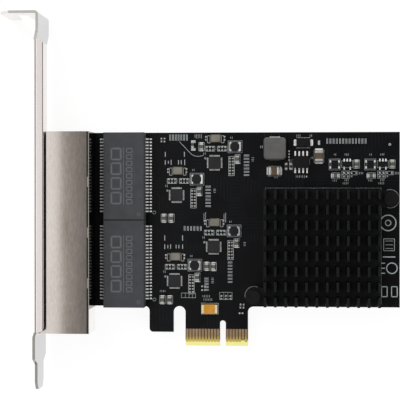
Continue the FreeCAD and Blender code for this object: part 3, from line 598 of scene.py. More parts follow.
# %% Board finish
RUN_PITCH, PATCH_WIDTH = 0.55 * MM, 7 * MM
TRACK_EDGE = (0.26 * MM, 0.34 * MM)
BARE_SHARE, COPPER_STEP = 0.45, 0.03 * MM
lacquer = grained("solder_mask", "black solder mask", "08090c", "0d0e11", 0.4, 0.36,
                  relief=0.003, Specular_IOR_Level=0.19)
tree = lacquer["tree"]
place = lacquer["where"].outputs["Object"]
split = add(tree, "ShaderNodeSeparateXYZ", {0: place})
patches = add(tree, "ShaderNodeTexVoronoi", {"Vector": place, "Scale": 1 / PATCH_WIDTH},
              distance="MANHATTAN")
patch = add(tree, "ShaderNodeSeparateColor", {0: patches.outputs["Color"]})
across, along = [add(tree, "ShaderNodeMath", {0: split.outputs[axis], 1: RUN_PITCH},
                     operation="PINGPONG") for axis in "XY"]
chosen = add(tree, "ShaderNodeMath", {0: patch.outputs["Red"], 1: 0.5},
             operation="GREATER_THAN")
run = add(tree, "ShaderNodeMix", {0: chosen.outputs[0], 2: across.outputs[0],
          3: along.outputs[0]}, data_type="FLOAT")
track = add(tree, "ShaderNodeMapRange", {"Value": run.outputs[0],
            "From Min": TRACK_EDGE[0], "From Max": TRACK_EDGE[1]})
busy = add(tree, "ShaderNodeMath", {0: patch.outputs["Green"], 1: BARE_SHARE},
           operation="GREATER_THAN")
copper = add(tree, "ShaderNodeMath", {0: track.outputs[0], 1: busy.outputs[0]},
             operation="MULTIPLY")
tint_where(lacquer, [copper.outputs[0]], linear("101114"))
raise_by(lacquer, copper.outputs[0], COPPER_STEP, 0.6)
print("board finish:", len(tree.nodes), "nodes")

# %% [markdown]
# ## Where the lacquer ends
#
# The board's cut edges show its glass-epoxy core, in layers of cloth.  The contact blade
# is bare brown laminate between the contacts.  It turns pale yellow at the bevel, which
# was cut by grinding, and its near-white glow there is painted light.  The yellow at the
# contacts' lower ends is a painted highlight.  The way the surface faces tells an edge
# from a face, and the contacts' own box gives the blade.

# %% Core, blade and painted highlights
WEAVE_PITCH, BLADE_MARGIN = 0.9 * MM, 0.6 * MM
GROUND_GLOW_FROM, GROUND_GLOW_TO = 2.3 * MM, 1.4 * MM
TIP_HIGHLIGHT_FROM, TIP_HIGHLIGHT_TO = 3.2 * MM, 2.0 * MM
contact_low, contact_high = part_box("edge_contacts")
turned = add(tree, "ShaderNodeSeparateXYZ", {0: lacquer["where"].outputs["Normal"]})
facing = add(tree, "ShaderNodeMath", {0: turned.outputs["Z"]}, operation="ABSOLUTE")
cut = add(tree, "ShaderNodeMath", {0: facing.outputs[0], 1: 0.5}, operation="LESS_THAN")
weave = add(tree, "ShaderNodeTexWave", {"Vector": place, "Scale": 1 / WEAVE_PITCH,
            "Distortion": 2.0}, wave_type="BANDS", bands_direction="Z")
core = add(tree, "ShaderNodeMix", {0: weave.outputs[0], 6: linear("2a2721"),
           7: linear("45402f")}, data_type="RGBA")
# Partly the laminate's paler colour at the bevel, partly a painted glow: the blade runs
# from brown to near-white yellow.
ground_glow = add(tree, "ShaderNodeMapRange", {"Value": split.outputs["Y"],
             "From Min": GROUND_GLOW_FROM, "From Max": GROUND_GLOW_TO})
laminate = add(tree, "ShaderNodeMix", {0: ground_glow.outputs[0], 6: linear("54412f"),
               7: linear("fff7a4")}, data_type="RGBA")
tint_where(lacquer, [cut.outputs[0]], core.outputs[2])
blade = [beyond(lacquer, "Y", contact_high.y, "LESS_THAN"),
         beyond(lacquer, "X", contact_low.x - BLADE_MARGIN)]
tint_where(lacquer, blade, laminate.outputs[2])

gold = FINISHES["gold_fingers"]
split = add(gold["tree"], "ShaderNodeSeparateXYZ", {0: gold["where"].outputs["Object"]})
tip_highlight = add(gold["tree"], "ShaderNodeMapRange", {"Value": split.outputs["Y"],
           "From Min": TIP_HIGHLIGHT_FROM, "From Max": TIP_HIGHLIGHT_TO})
# Painted highlight: the contacts turn bright yellow towards their lower ends.
tint_where(gold, [tip_highlight.outputs[0]], linear("f3d76a"))
print("bare blade below Y =", round(contact_high.y / MM, 2), "mm")

# %% [markdown]
# ## Lenses
#
# Each port has two small light windows.  They are tinted clear plastic bars that lead
# the light forward, so the finish lets light through and keeps a faint milky grain.

# %% Lens finishes
grained("green_lens", "green light pipe", "5fae4a", "86cf6c", 0.4, 0.16,
        Transmission_Weight=0.55, IOR=1.49)
grained("amber_lens", "amber light pipe", "d9952f", "efb659", 0.4, 0.16,
        Transmission_Weight=0.55, IOR=1.49)
print("lenses:", [key for key in FINISHES if key.endswith("lens")])

# %% [markdown]
# ## Inks
#
# Ink is a thin dry film.  The board's is white epoxy, baked on; the modules' is a grey
# pad print that barely stands out.  Both are matt, with the grain of the mesh or pad.

# %% Ink finishes
grained("white_ink", "white epoxy ink", "9fa5a5", "bcc2c1", 0.12, 0.65, relief=0.006,
        Specular_IOR_Level=0.3)
grained("grey_print", "grey pad print", "5b5d60", "6a6c70", 0.12, 0.6,
        Specular_IOR_Level=0.3)
print("finishes in all:", len(FINISHES))

# %% [markdown]
# ## Which finish goes where
#
# Every node of the frame has one material slot, and its finish replaces what is in it.
# Names in the frame are plain, so most finishes go by the start of a node's name, and
# one line here dresses all four chips.

# %% Dress the frame's nodes
NODE_FINISH = {
    "circuit_board": "solder_mask", "edge_contacts": "gold_fingers",
    "slot_bracket": "nickel_sheet", "bracket_screws": "zinc_screw",
    "jack_shield": "tinned_shield", "jack_rear_cover": "bright_cover",
    "jack_housing": "jack_plastic", "jack_contacts": "gold_wire",
    "jack_pins": "solder_tin", "link_lights": "green_lens",
    "activity_lights": "amber_lens", "transformer": "module_plastic",
    "heat_sink": "black_anodised",
    "thermal_pad": "thermal_rubber", "switch_chip": "chip_epoxy",
    "push_pins": "pin_plastic", "push_pin_springs": "spring_steel",
    "ethernet_chip": "chip_epoxy", "crystal_base": "crystal_ceramic",
    "crystal_lid": "crystal_metal", "core_inductor": "ferrite",
    "power_inductor": "power_ferrite", "switching_regulator": "dark_epoxy",
    "power_diode": "dark_epoxy", "small_regulators": "dark_epoxy",
    "small_inductors": "ferrite", "tantalum_capacitor": "tantalum_resin",
    "small_capacitors": "capacitor_ceramic", "large_capacitors": "capacitor_ceramic",
    "resistors": "resistor_glaze", "tantalum_capacitor_ends": "cream_tin",
    "power_inductor_terminals": "clip_tin",
}


def finish_of(node):
    """Terminals and leads are tinned; elsewhere the longest matching name wins."""
    tinned = node.endswith(("terminals", "leads", "leads_lower", "leads_upper"))
    if tinned and node not in NODE_FINISH:
        return "bright_tin"
    matches = [name for name in NODE_FINISH if node.startswith(name)]
    return NODE_FINISH[max(matches, key=len)]


for name, node in NODES.items():
    node.material_slots[0].material = FINISHES[finish_of(name)]["material"]
print("dressed:", len(NODES))

# %% [markdown]
# ## Finding the small parts
#
# One node can hold many small solids, such as all the chip capacitors.  Merging a copy
# of its mesh and walking from face to face gives each solid's own box, so every detail
# below is placed from the frame and nothing is typed in twice.

# %% Islands of a node
SAME_PLACE = 0.001 * MM


def islands(node):
    """Centre and size of each separate solid in a node, from left to right."""
    shape = bmesh.new()
    shape.from_mesh(NODES[node].data)
    bmesh.ops.remove_doubles(shape, verts=shape.verts, dist=SAME_PLACE)
    left = set(shape.verts)
    boxes = []
    while left:
        heap = [left.pop()]
        found = []
        while heap:
            vertex = heap.pop()
            found.append(vertex.co.copy())
            near = {edge.other_vert(vertex) for edge in vertex.link_edges} & left
            left -= near
            heap.extend(near)
        low = Vector([min(point[axis] for point in found) for axis in range(3)])
        high = Vector([max(point[axis] for point in found) for axis in range(3)])
        boxes.append(((low + high) / 2, high - low))
    shape.free()
    return sorted(boxes, key=lambda box: tuple(box[0]))


print("small capacitors:", len(islands("small_capacitors")),
      "resistors:", len(islands("resistors")))

# %% [markdown]
# ## Keeping a piece
#
# A finished mesh becomes an object at the origin that rides on the card, with its finish
# as its one material.

# %% Keep a piece
def keep(name, mesh, finish, replaced=()):
    """Make a mesh a finished piece, in place of the nodes that it stands for."""
    mesh.name = name
    mesh.materials.clear()
    mesh.materials.append(FINISHES[finish]["material"])
    piece = link(bpy.data.objects.new(name, mesh))
    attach(piece, BODY)
    if replaced:
        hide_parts(*replaced)
    print(name, len(mesh.polygons), "faces")
    return piece


def mesh_of(shape, name):
    """A bmesh as a mesh, with its normals turned outward."""
    bmesh.ops.recalc_face_normals(shape, faces=shape.faces)
    mesh = bpy.data.meshes.new(name)
    shape.to_mesh(mesh)
    shape.free()
    return mesh


def evaluated(thing):
    """The plain mesh that an object's modifiers make; the object is then removed."""
    bpy.context.view_layer.update()
    graph = bpy.context.evaluated_depsgraph_get()
    mesh = bpy.data.meshes.new_from_object(thing.evaluated_get(graph))
    thing.modifiers.clear()
    bpy.data.objects.remove(thing)
    return mesh


print("pieces ride on:", BODY)

# %% [markdown]
# ## Two ways to a small solid
#
# Most small parts are boxes with broken edges, or a stack of outlines: a bent strip, a
# drum, a screw.  So there are two helpers.  One adds a bevelled box to a mesh that is
# being built.  The other joins rings of points into one closed skin, where a ring of a
# single point closes a dome.

# %% Boxes and skins
def bevelled_box(low, high, bevel, shape=None, segments=1):
    """A box with its edges softened, in a new or a given bmesh."""
    shape = shape or bmesh.new()
    low, high = Vector(low), Vector(high)
    made = bmesh.ops.create_cube(shape, size=1.0)["verts"]
    bmesh.ops.scale(shape, verts=made, vec=high - low)
    bmesh.ops.translate(shape, verts=made, vec=(high + low) / 2)
    if bevel:
        edges = list({edge for vertex in made for edge in vertex.link_edges})
        bmesh.ops.bevel(shape, geom=edges, offset=bevel, segments=segments,
                        profile=0.5, affect="EDGES")
    return shape


def skinned(shape, rings):
    """Join rings of points into one closed solid; returns the rings' vertices."""
    layers = [[shape.verts.new(point) for point in ring] for ring in rings]
    steps = max(len(layer) for layer in layers)
    for end in (layers[0], layers[-1]):
        if len(end) > 1:
            shape.faces.new(end)
    for first, second in zip(layers, layers[1:]):
        for step in range(steps):
            after = (step + 1) % steps
            corners = (first[step % len(first)], first[after % len(first)],
                       second[after % len(second)], second[step % len(second)])
            shape.faces.new(list(dict.fromkeys(corners)))
    return layers


sample = bevelled_box((0, 0, 0), (1, 1, 1), 0.1)
print("a bevelled box has", len(sample.faces), "faces")
sample.free()

# %% [markdown]
# ## One tree that copies a pattern onto points
#
# A pick-and-place machine puts the same few parts down many times, turned and at
# several sizes.  Geometry Nodes do the same: every point carries a turn and a stretch,
# and a pattern is copied onto it.  Two helpers come first.  One starts a tree with
# named inputs, and the other runs it on a list of points and keeps the plain mesh.

# %% Trees and points
def new_tree(name, sockets):
    """An empty geometry tree with named inputs; returns it, its input and output."""
    tree = bpy.data.node_groups.new(name, "GeometryNodeTree")
    tree.interface.new_socket("Geometry", in_out="OUTPUT",
                              socket_type="NodeSocketGeometry")
    for socket, (kind, value) in sockets.items():
        made = tree.interface.new_socket(socket, in_out="INPUT",
                                         socket_type="NodeSocket" + kind)
        if value is not None:
            made.default_value = value
    return tree, add(tree, "NodeGroupInput"), add(tree, "NodeGroupOutput")


def baked(name, tree, points, finish, sizes=None):
    """Run a tree over points and return the plain mesh that it makes."""
    values = {"Finish": FINISHES[finish]["material"], **(sizes or {})}
    mesh = bpy.data.meshes.new(name + " points")
    mesh.from_pydata([point["at"] for point in points], [], [])
    for key, kind in (("turn", "FLOAT"), ("stretch", "FLOAT_VECTOR")):
        column = mesh.attributes.new(key, kind, "POINT")
        for index, point in enumerate(points):
            if key == "turn":
                column.data[index].value = point.get(key, 0.0)
            else:
                column.data[index].vector = point.get(key, (1, 1, 1))
    holder = link(bpy.data.objects.new(name + " points", mesh))
    modifier = holder.modifiers.new(name, "NODES")
    modifier.node_group = tree
    for item in tree.interface.items_tree:
        if item.item_type == "SOCKET" and item.in_out == "INPUT" and item.name in values:
            modifier[item.identifier] = values[item.name]
    return evaluated(holder)


print("a point carries a turn about Z and a stretch")

# %% [markdown]
# ## How every tree here ends
#
# The copies are made real and given their finish, because an export would drop bare
# copies.  The first tree takes its pattern from an object; the later ones draw theirs.

# %% The pick-and-place tree
def end_tree(tree, shape, inlet, outlet):
    """Copy a shape onto every point, make the copies real and set their finish."""
    turn = add(tree, "GeometryNodeInputNamedAttribute", {"Name": "turn"},
               data_type="FLOAT")
    stretch = add(tree, "GeometryNodeInputNamedAttribute", {"Name": "stretch"},
                  data_type="FLOAT_VECTOR")
    angles = add(tree, "ShaderNodeCombineXYZ", {"Z": turn.outputs[0]})
    copied = add(tree, "GeometryNodeInstanceOnPoints", {
        "Points": inlet.outputs["Points"], "Instance": shape,
        "Rotation": angles.outputs[0], "Scale": stretch.outputs[0]})
    real = add(tree, "GeometryNodeRealizeInstances", {0: copied.outputs[0]})
    dressed = add(tree, "GeometryNodeSetMaterial", {"Geometry": real.outputs[0],
                  "Material": inlet.outputs["Finish"]})
    tree.links.new(dressed.outputs[0], outlet.inputs[0])


place_tree, inlet, outlet = new_tree("pick and place", {
    "Points": ("Geometry", None), "Pattern": ("Object", None),
    "Finish": ("Material", None)})
pattern = add(place_tree, "GeometryNodeObjectInfo", {"Object": inlet.outputs["Pattern"]})
end_tree(place_tree, pattern.outputs["Geometry"], inlet, outlet)
print("tree:", place_tree.name, len(place_tree.nodes), "nodes")

# %% [markdown]
# ## Chip capacitors and resistors
#
# A chip part is a fired block whose two ends are dipped in metal and soldered to pads.
# Each is drawn once at unit size as three patterns, body, ends and solder, and the
# tree puts them down with each real part's length, width and height.

# %% Chip part patterns
END_SHARE, END_PROUD, END_BEVEL = 0.26, 0.03, 0.11
SOLDER_OUTLINE = ((0.49, 0.0), (0.72, 0.0), (0.58, 0.16), (0.49, 0.55))


def pattern_object(name, shape):
    """A pattern kept off the scene, for a tree to copy."""
    return bpy.data.objects.new(name, mesh_of(shape, name))


def mirrored_outline(outline, half_width):
    """An outline in X and Z drawn across Y, once at each end of a part."""
    shape = bmesh.new()
    for side in (-1, 1):
        skinned(shape, [[(side * x, y, z) for x, z in outline]
                        for y in (-half_width, half_width)])
    return shape


ceramic = pattern_object("ceramic block", bevelled_box(
    (-0.48, -0.5, 0), (0.48, 0.5, 1.0), 0.03))
resistor_base = pattern_object("alumina slab", bevelled_box(
    (-0.48, -0.49, 0), (0.48, 0.49, 0.86), 0.02))
resistor_top = pattern_object("glaze", bevelled_box(
    (-0.30, -0.46, 0.84), (0.30, 0.46, 0.99), 0.03))
caps = bmesh.new()
for inner, outer in ((-0.5, END_SHARE - 0.5), (0.5 - END_SHARE, 0.5)):
    bevelled_box((inner, -0.5 - END_PROUD, -0.02),
                 (outer, 0.5 + END_PROUD, 1.0 + END_PROUD), END_BEVEL, caps, 2)
dipped_ends = pattern_object("dipped ends", caps)
wedges = pattern_object("solder wedges", mirrored_outline(SOLDER_OUTLINE, 0.48))
print("solder climbs to", SOLDER_OUTLINE[-1][1], "of a part's height")

# %% [markdown]
# ## Putting the chip parts down
#
# A part lies along its longer side, which gives its turn, and its own box gives the
# stretch.  The longest large capacitors are of a browner ceramic than the rest.  A
# resistor is thinner than the room that the frame keeps for it.

# %% Put the chip parts down
BROWN_FROM = 2.6 * MM
RESISTOR_SHARE = 0.7


def laid(boxes, height=1.0):
    """Points for parts that lie along their longer side."""
    return [{"at": (middle.x, middle.y, middle.z - size.z / 2),
             "turn": math.pi / 2 if size.y > size.x else 0.0,
             "stretch": (max(size.x, size.y), min(size.x, size.y), size.z * height)}
            for middle, size in boxes]


def put_down(name, pattern, points, finish, replaced=()):
    """Copy a pattern onto every point and keep the result as one piece."""
    mesh = baked(name, place_tree, points, finish, {"Pattern": pattern})
    return keep(name, mesh, finish, replaced)


small, large = laid(islands("small_capacitors")), laid(islands("large_capacitors"))
resistors = laid(islands("resistors"), RESISTOR_SHARE)
brown = [point for point in large if point["stretch"][0] > BROWN_FROM]
greyer = [point for point in large if point["stretch"][0] <= BROWN_FROM]
every_part = small + large + resistors
print("brown capacitors:", len(brown), "of", len(large))
put_down("small_capacitor_bodies", ceramic, small, "small_ceramic",
         ("small_capacitors",))
put_down("large_capacitor_bodies", ceramic, greyer, "capacitor_ceramic",
         ("large_capacitors",))
put_down("brown_capacitor_bodies", ceramic, brown, "brown_ceramic")
put_down("resistor_slabs", resistor_base, resistors, "alumina",
         ("resistors",))
put_down("resistor_glazes", resistor_top, resistors, "resistor_glaze")
put_down("chip_part_ends", dipped_ends, every_part, "dipped_tin")
put_down("chip_part_solder", wedges, every_part, "dipped_tin")

# %% [markdown]
# ## Solder round the leadless chips
#
# The four network chips stand on pads that run out from under their edges, so a bright
# comb shows on all four sides.  The comb is one row of pads, copied four times a chip.

# %% Pads of the network chips
PADS, PAD_PITCH, PAD_WIDTH, PAD_REACH = 8, 0.42 * MM, 0.3 * MM, 0.5 * MM
PAD_HEIGHT, UNDERLAP = 0.10 * MM, 0.02 * MM
CHIPS = [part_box("ethernet_chip_%d" % number) for number in range(1, 5)]
BACK, FACE = [corner.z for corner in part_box("circuit_board")]
comb = bmesh.new()
for index in range(PADS):
    middle = (index - (PADS - 1) / 2) * PAD_PITCH
    bevelled_box((middle - PAD_WIDTH / 2, 0.0, -UNDERLAP),
                 (middle + PAD_WIDTH / 2, PAD_REACH, PAD_HEIGHT), UNDERLAP, comb)
pad_row = pattern_object("pad row", comb)
points = []
for low, high in CHIPS:
    middle = (low + high) / 2
    reach = (high.x - low.x) / 2 - UNDERLAP
    for quarter in range(4):
        angle = quarter * math.pi / 2
        points.append({"turn": angle, "at": (middle.x - math.sin(angle) * reach,
                                             middle.y + math.cos(angle) * reach, FACE)})
put_down("chip_pads", pad_row, points, "solder_tin")

# %% [markdown]
# ## Bent leads on the modules
#
# The two modules stand on rows of gull-wing leads: each comes straight out of the
# moulding, bends down and ends in a flat foot on its pad.  The frame holds only the
# feet.  One lead is drawn as a strip along its bent centre line, and the tree puts it
# at every foot, turned to face outward.

# %% Gull-wing leads
LEAD_LINE = ((-0.05, 1.2), (0.82, 1.2), (0.98, 1.08), (1.16, 0.3), (1.28, 0.15),
             (1.9, 0.15))
STEEP = 0.4


def strip(centre_line, thick, wide):
    """A flat strip of metal, in mm, along a bent line in X and Z."""
    line = [Vector((x * MM, z * MM)) for x, z in centre_line]
    aheads = [(after - before).normalized() for before, after in
              zip(line[:1] + line[:-1], line[1:] + line[-1:])]
    rings = []
    for point, ahead in zip(line, aheads):
        across = Vector((-ahead.y, ahead.x)) * thick * MM / 2
        half = wide * MM / 2
        rings.append([(point.x + side * across.x, y, point.y + side * across.y)
                      for side, y in ((1, -half), (1, half), (-1, half), (-1, -half))])
    shape = bmesh.new()
    # One on the steep part, where the lead's finish paints a dark reflection of the board.
    painted_reflection = shape.verts.layers.float.new("painted_reflection")
    for corners, ahead in zip(skinned(shape, rings), aheads):
        for corner in corners:
            corner[painted_reflection] = float(abs(ahead.y) > STEEP)
    return shape


lead = pattern_object("gull-wing lead", strip(LEAD_LINE, 0.2, 0.46))
points = []
for module in ("lower", "upper"):
    centre_x = sum(corner.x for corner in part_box("transformer_" + module)) / 2
    for middle, size in islands("transformer_leads_" + module):
        out = 1 if middle.x > centre_x else -1
        points.append({"at": (middle.x - out * size.x / 2, middle.y, FACE),
                       "turn": 0.0 if out > 0 else math.pi})
put_down("module_leads", lead, points, "formed_tin",
         ("transformer_leads_lower", "transformer_leads_upper"))

# %% [markdown]
# ## Leads of the regulators
#
# The regulators stand on the same kind of lead, bent lower and shorter.  Their leads
# come out of two sides only, so each turns away from the body that is nearest to it.

# %% Leads of the regulators
REGULATORS = (
    ("switching_regulator_leads", "switching_regulator", 0.5,
     ((-0.05, 0.85), (0.3, 0.85), (0.5, 0.2), (1.05, 0.14), (1.55, 0.1))),
    ("small_regulator_leads", "small_regulators", 0.42,
     ((-0.05, 0.5), (0.15, 0.5), (0.3, 0.15), (0.6, 0.12), (0.95, 0.1))))


def facing_out(leads, bodies):
    """A point at each lead's inner end, turned away from the nearest body."""
    points = []
    for middle, size in leads:
        body = min(bodies, key=lambda box: (box[0] - middle).length)[0]
        out = 1 if middle.y > body.y else -1
        points.append({"at": (middle.x, middle.y - out * size.y / 2, FACE),
                       "turn": out * math.pi / 2})
    return points


for node, body, wide, line in REGULATORS:
    shape = pattern_object(node + " pattern", strip(line, 0.16, wide))
    put_down(node[:-1] + "_strips", shape, facing_out(islands(node), islands(body)),
             "bright_tin", (node,))

# %% [markdown]
# ## Shielded inductors
#
# Each inductor is a dark ferrite drum in a square of grey magnetic resin, held between
# two tinned shoes.  The shoes are rounded, so their left shoulders catch the white
# tent and their right ones the grey card.  The three patterns are drawn at unit size.

# %% Inductors
SHOE_OUTLINE = ((0.33, 0.0), (0.33, 0.95), (0.40, 0.94), (0.54, 0.72), (0.57, 0.5),
                (0.57, 0.0))
DRUM_STEPS = ((0.43, 0.78), (0.43, 0.95), (0.40, 0.99), (0.30, 1.0))
DRUM_SIDES = 8
CORE_INDUCTORS = tuple("core_inductor_%d" % number for number in range(1, 5))


def regular(radius, z, sides):
    """A regular outline whose flat sides are one radius from the middle."""
    reach = radius / math.cos(math.pi / sides)
    angles = [(2 * step + 1) * math.pi / sides for step in range(sides)]
    return [(reach * math.cos(angle), reach * math.sin(angle), z) for angle in angles]


def standing(boxes):
    """Points that stretch a unit pattern over each box, from its underside."""
    return [{"at": (middle.x, middle.y, middle.z - size.z / 2),
             "stretch": tuple(size)} for middle, size in boxes]


resin = pattern_object("resin square", bevelled_box(
    (-0.48, -0.5, 0.0), (0.48, 0.5, 0.80), 0.04))
drum_shape = bmesh.new()
skinned(drum_shape, [regular(radius, z, DRUM_SIDES) for radius, z in DRUM_STEPS])
drum = pattern_object("ferrite drum", drum_shape)
shoe = pattern_object("tinned shoes", mirrored_outline(SHOE_OUTLINE, 0.42))
points = standing([box for name in CORE_INDUCTORS for box in islands(name)])
put_down("inductor_resin", resin, points, "inductor_resin", CORE_INDUCTORS)
put_down("inductor_drums", drum, points, "ferrite")
put_down("inductor_shoes", shoe, points, "bright_shoe",
         ("core_inductor_terminals",))

# %% [markdown]
# ## Square inductors
#
# The two regulators' inductors are a plainer kind: a square black core on a pale
# ledge, held by a small bright foot at each corner.  They are boxes at unit size.

# %% Square inductors
FOOT_PLACE, FOOT_HALF, FOOT_HEIGHT = (0.47, 0.33), (0.08, 0.13), 0.62
core = pattern_object("square core", bevelled_box(
    (-0.36, -0.42, 0.5), (0.36, 0.42, 1.0), 0.03))
ledge = pattern_object("pale ledge", bevelled_box(
    (-0.47, -0.5, 0.0), (0.47, 0.5, 0.52), 0.03))
feet = bmesh.new()
for side in (-1, 1):
    for end in (-1, 1):
        x, y = side * FOOT_PLACE[0], end * FOOT_PLACE[1]
        bevelled_box((x - FOOT_HALF[0], y - FOOT_HALF[1], 0.0),
                     (x + FOOT_HALF[0], y + FOOT_HALF[1], FOOT_HEIGHT), 0.02, feet)
corner_feet = pattern_object("corner feet", feet)
points = standing(islands("small_inductors"))
put_down("square_cores", core, points, "dark_epoxy", ("small_inductors",))
put_down("square_ledges", ledge, points, "inductor_resin")
put_down("square_inductor_feet", corner_feet, points, "bright_tin",
         ("small_inductor_terminals",))

# %% [markdown]
# ## The power inductor
#
# The largest inductor is pressed from iron powder round its coil.  Pressing leaves
# small rounded corners, a shoulder where the two halves of the die met, and a shallow
# dished field on the top where a marking would go.

# %% Power inductor body
CORNER_STEPS = 6
PRESSED_STEPS = (  # inset mm, corner radius mm, share of the height
    (0.10, 1.0, 0.0), (0.0, 1.1, 0.12), (0.0, 1.1, 0.80), (0.12, 1.1, 0.93),
    (0.42, 1.0, 1.0), (1.60, 0.5, 1.0), (1.80, 0.4, 0.985))


def rounded_square(low, high, corner, z):
    """An outline with round corners, anticlockwise from the right."""
    points = []
    for quarter in range(4):
        cx = high.x - corner if quarter in (0, 3) else low.x + corner
        cy = high.y - corner if quarter in (0, 1) else low.y + corner
        for step in range(CORNER_STEPS + 1):
            angle = (quarter + step / CORNER_STEPS) * math.pi / 2
            points.append((cx + corner * math.cos(angle), cy + corner * math.sin(angle),
                           z))
    return points


low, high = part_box("power_inductor")
rings = []
for inset, corner, share in PRESSED_STEPS:
    edge = Vector((inset, inset, 0)) * MM
    rings.append(rounded_square(low + edge, high - edge, corner * MM,
                                low.z + share * (high.z - low.z)))
pressed = bmesh.new()
skinned(pressed, rings)
keep("power_inductor_body", mesh_of(pressed, "body"), "power_ferrite",
     ("power_inductor",))

# %% [markdown]
# ## Pads under the diode
#
# The diode's short terminals end on much wider pads, which are rounded mounds of
# solder to the eye.

# %% Diode pads
MOUND_LENGTH, MOUND_HALF, MOUND_HEIGHT, MOUND_ROUND = (
    1.0 * MM, 1.05 * MM, 0.8 * MM, 0.3 * MM)
diode_x = sum(corner.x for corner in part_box("power_diode")) / 2
mounds = bmesh.new()
for middle, size in islands("power_diode_terminals"):
    out = 1 if middle.x > diode_x else -1
    inner = middle.x - out * size.x / 2
    outer = inner + out * MOUND_LENGTH
    bevelled_box((min(inner, outer), middle.y - MOUND_HALF, FACE),
                 (max(inner, outer), middle.y + MOUND_HALF, FACE + MOUND_HEIGHT),
                 MOUND_ROUND, mounds, 3)
keep("diode_pads", mesh_of(mounds, "diode_pads"), "bright_tin",
     ("power_diode_terminals",))

# %% [markdown]
# ## Coil springs under the push pins
#
# A spring presses each ear of the heat sink down.  It is a wire wound on a helix, so
# it is drawn as one: a spiral curve with a round section swept along it.  The frame
# holds only a sleeve there, and this piece stands for it.

# %% Coil springs
WIRE, COIL_TURNS = 0.2 * MM, 4.5
spring_tree, inlet, outlet = new_tree("coil spring", {
    "Points": ("Geometry", None), "Coil Radius": ("Float", 1.8 * MM),
    "Wire Radius": ("Float", WIRE), "Free Height": ("Float", 3.0 * MM),
    "Turns": ("Float", COIL_TURNS), "Finish": ("Material", None)})
helix = add(spring_tree, "GeometryNodeCurveSpiral", {
    "Resolution": 20, "Rotations": inlet.outputs["Turns"],
    "Start Radius": inlet.outputs["Coil Radius"],
    "End Radius": inlet.outputs["Coil Radius"], "Height": inlet.outputs["Free Height"]})
section = add(spring_tree, "GeometryNodeCurvePrimitiveCircle", {
    "Resolution": 8, "Radius": inlet.outputs["Wire Radius"]})
wire = add(spring_tree, "GeometryNodeCurveToMesh", {
    "Curve": helix.outputs[0], "Profile Curve": section.outputs[0], "Fill Caps": True})
end_tree(spring_tree, wire.outputs[0], inlet, outlet)

sleeves = islands("push_pin_springs")
points = [{"at": (middle.x, middle.y, middle.z - size.z / 2 + WIRE)}
          for middle, size in sleeves]
sleeve = sleeves[0][1]
mesh = baked("push_pin_coils", spring_tree, points, "spring_steel", {
    "Coil Radius": sleeve.x / 2 - WIRE, "Wire Radius": WIRE,
    "Free Height": sleeve.z - 2 * WIRE, "Turns": COIL_TURNS})
keep("push_pin_coils", mesh, "spring_steel", ("push_pin_springs",))

# %% [markdown]
# ## Bracket screws
#
# Two pan-head screws hold the bracket's feet under the board.  A pan head is a flat
# dome, so its profile is turned round the axis like work on a lathe, and a Boolean
# then sinks the cross recess.

# %% Turned screws with a cross recess
SHANK, HEAD_THICK, CROSS_DEPTH = 0.95 * MM, 1.5 * MM, 0.9 * MM
CROSS_HALF = (0.32 * MM, 1.15 * MM)
DOME = ((0.45, 0.02), (0.80, 0.18), (0.95, 0.50), (1.0, 0.9))  # share of radius, mm
LATHE_STEPS = 32


def turned_ring(middle, radius, z):
    """A circle round an upright axis, or a single point where the radius is zero."""
    angles = [2 * math.pi * step / LATHE_STEPS for step in range(LATHE_STEPS)]
    return [(middle.x + radius * math.cos(angle), middle.y + radius * math.sin(angle), z)
            for angle in (angles if radius else angles[:1])]


bodies, recess = bmesh.new(), bmesh.new()
for middle, size in islands("bracket_screws"):
    low, high = middle.z - size.z / 2, middle.z + size.z / 2
    head, under = size.x / 2, low + HEAD_THICK
    dome = [(head * share, low + rise * MM) for share, rise in DOME]
    profile = [(0, low), *dome, (head, under), (SHANK, under), (SHANK, high), (0, high)]
    skinned(bodies, [turned_ring(middle, radius, z) for radius, z in profile])
    for across, along in (CROSS_HALF, CROSS_HALF[::-1]):
        bevelled_box((middle.x - across, middle.y - along, low - 0.4 * MM),
                     (middle.x + across, middle.y + along, low + CROSS_DEPTH), 0, recess)
screws = link(bpy.data.objects.new("screws", mesh_of(bodies, "screws")))
cutter = link(bpy.data.objects.new("cross", mesh_of(recess, "cross")))
cut = screws.modifiers.new("recess", "BOOLEAN")
cut.operation, cut.object, cut.solver = "DIFFERENCE", cutter, "EXACT"
cut.use_self = True
mesh = evaluated(screws)
bpy.data.objects.remove(cutter)
keep("cross_head_screws", mesh, "zinc_screw", ("bracket_screws",))

# %% [markdown]
# ## Solder joints on the back
#
# The jack's pins come through the board and are soldered behind it.  Molten solder
# wets the pad and climbs the pin, which leaves a small cone round each one.  The tree
# stretches its cone downward by a negative height, which turns the faces inside out,
# so the normals are worked out again.

# %% Solder cones
CONE_SHARE = 0.68
joint_tree, inlet, outlet = new_tree("solder joints", {
    "Points": ("Geometry", None), "Pad Radius": ("Float", 0.8 * MM),
    "Neck Radius": ("Float", 0.3 * MM), "Climb": ("Float", 0.7 * MM),
    "Finish": ("Material", None)})
cone = add(joint_tree, "GeometryNodeMeshCone", {
    "Vertices": 16, "Radius Bottom": inlet.outputs["Pad Radius"],
    "Radius Top": inlet.outputs["Neck Radius"], "Depth": inlet.outputs["Climb"]})
end_tree(joint_tree, cone.outputs[0], inlet, outlet)
points = [{"at": (middle.x, middle.y, BACK), "stretch": (CONE_SHARE, CONE_SHARE, -1)}
          for middle, size in islands("jack_pins")]
turned_over = baked("jack_pin_solder", joint_tree, points, "solder_tin")
shape = bmesh.new()
shape.from_mesh(turned_over)
keep("jack_pin_solder", mesh_of(shape, "jack_pin_solder"), "solder_tin")
print("joints:", len(points))

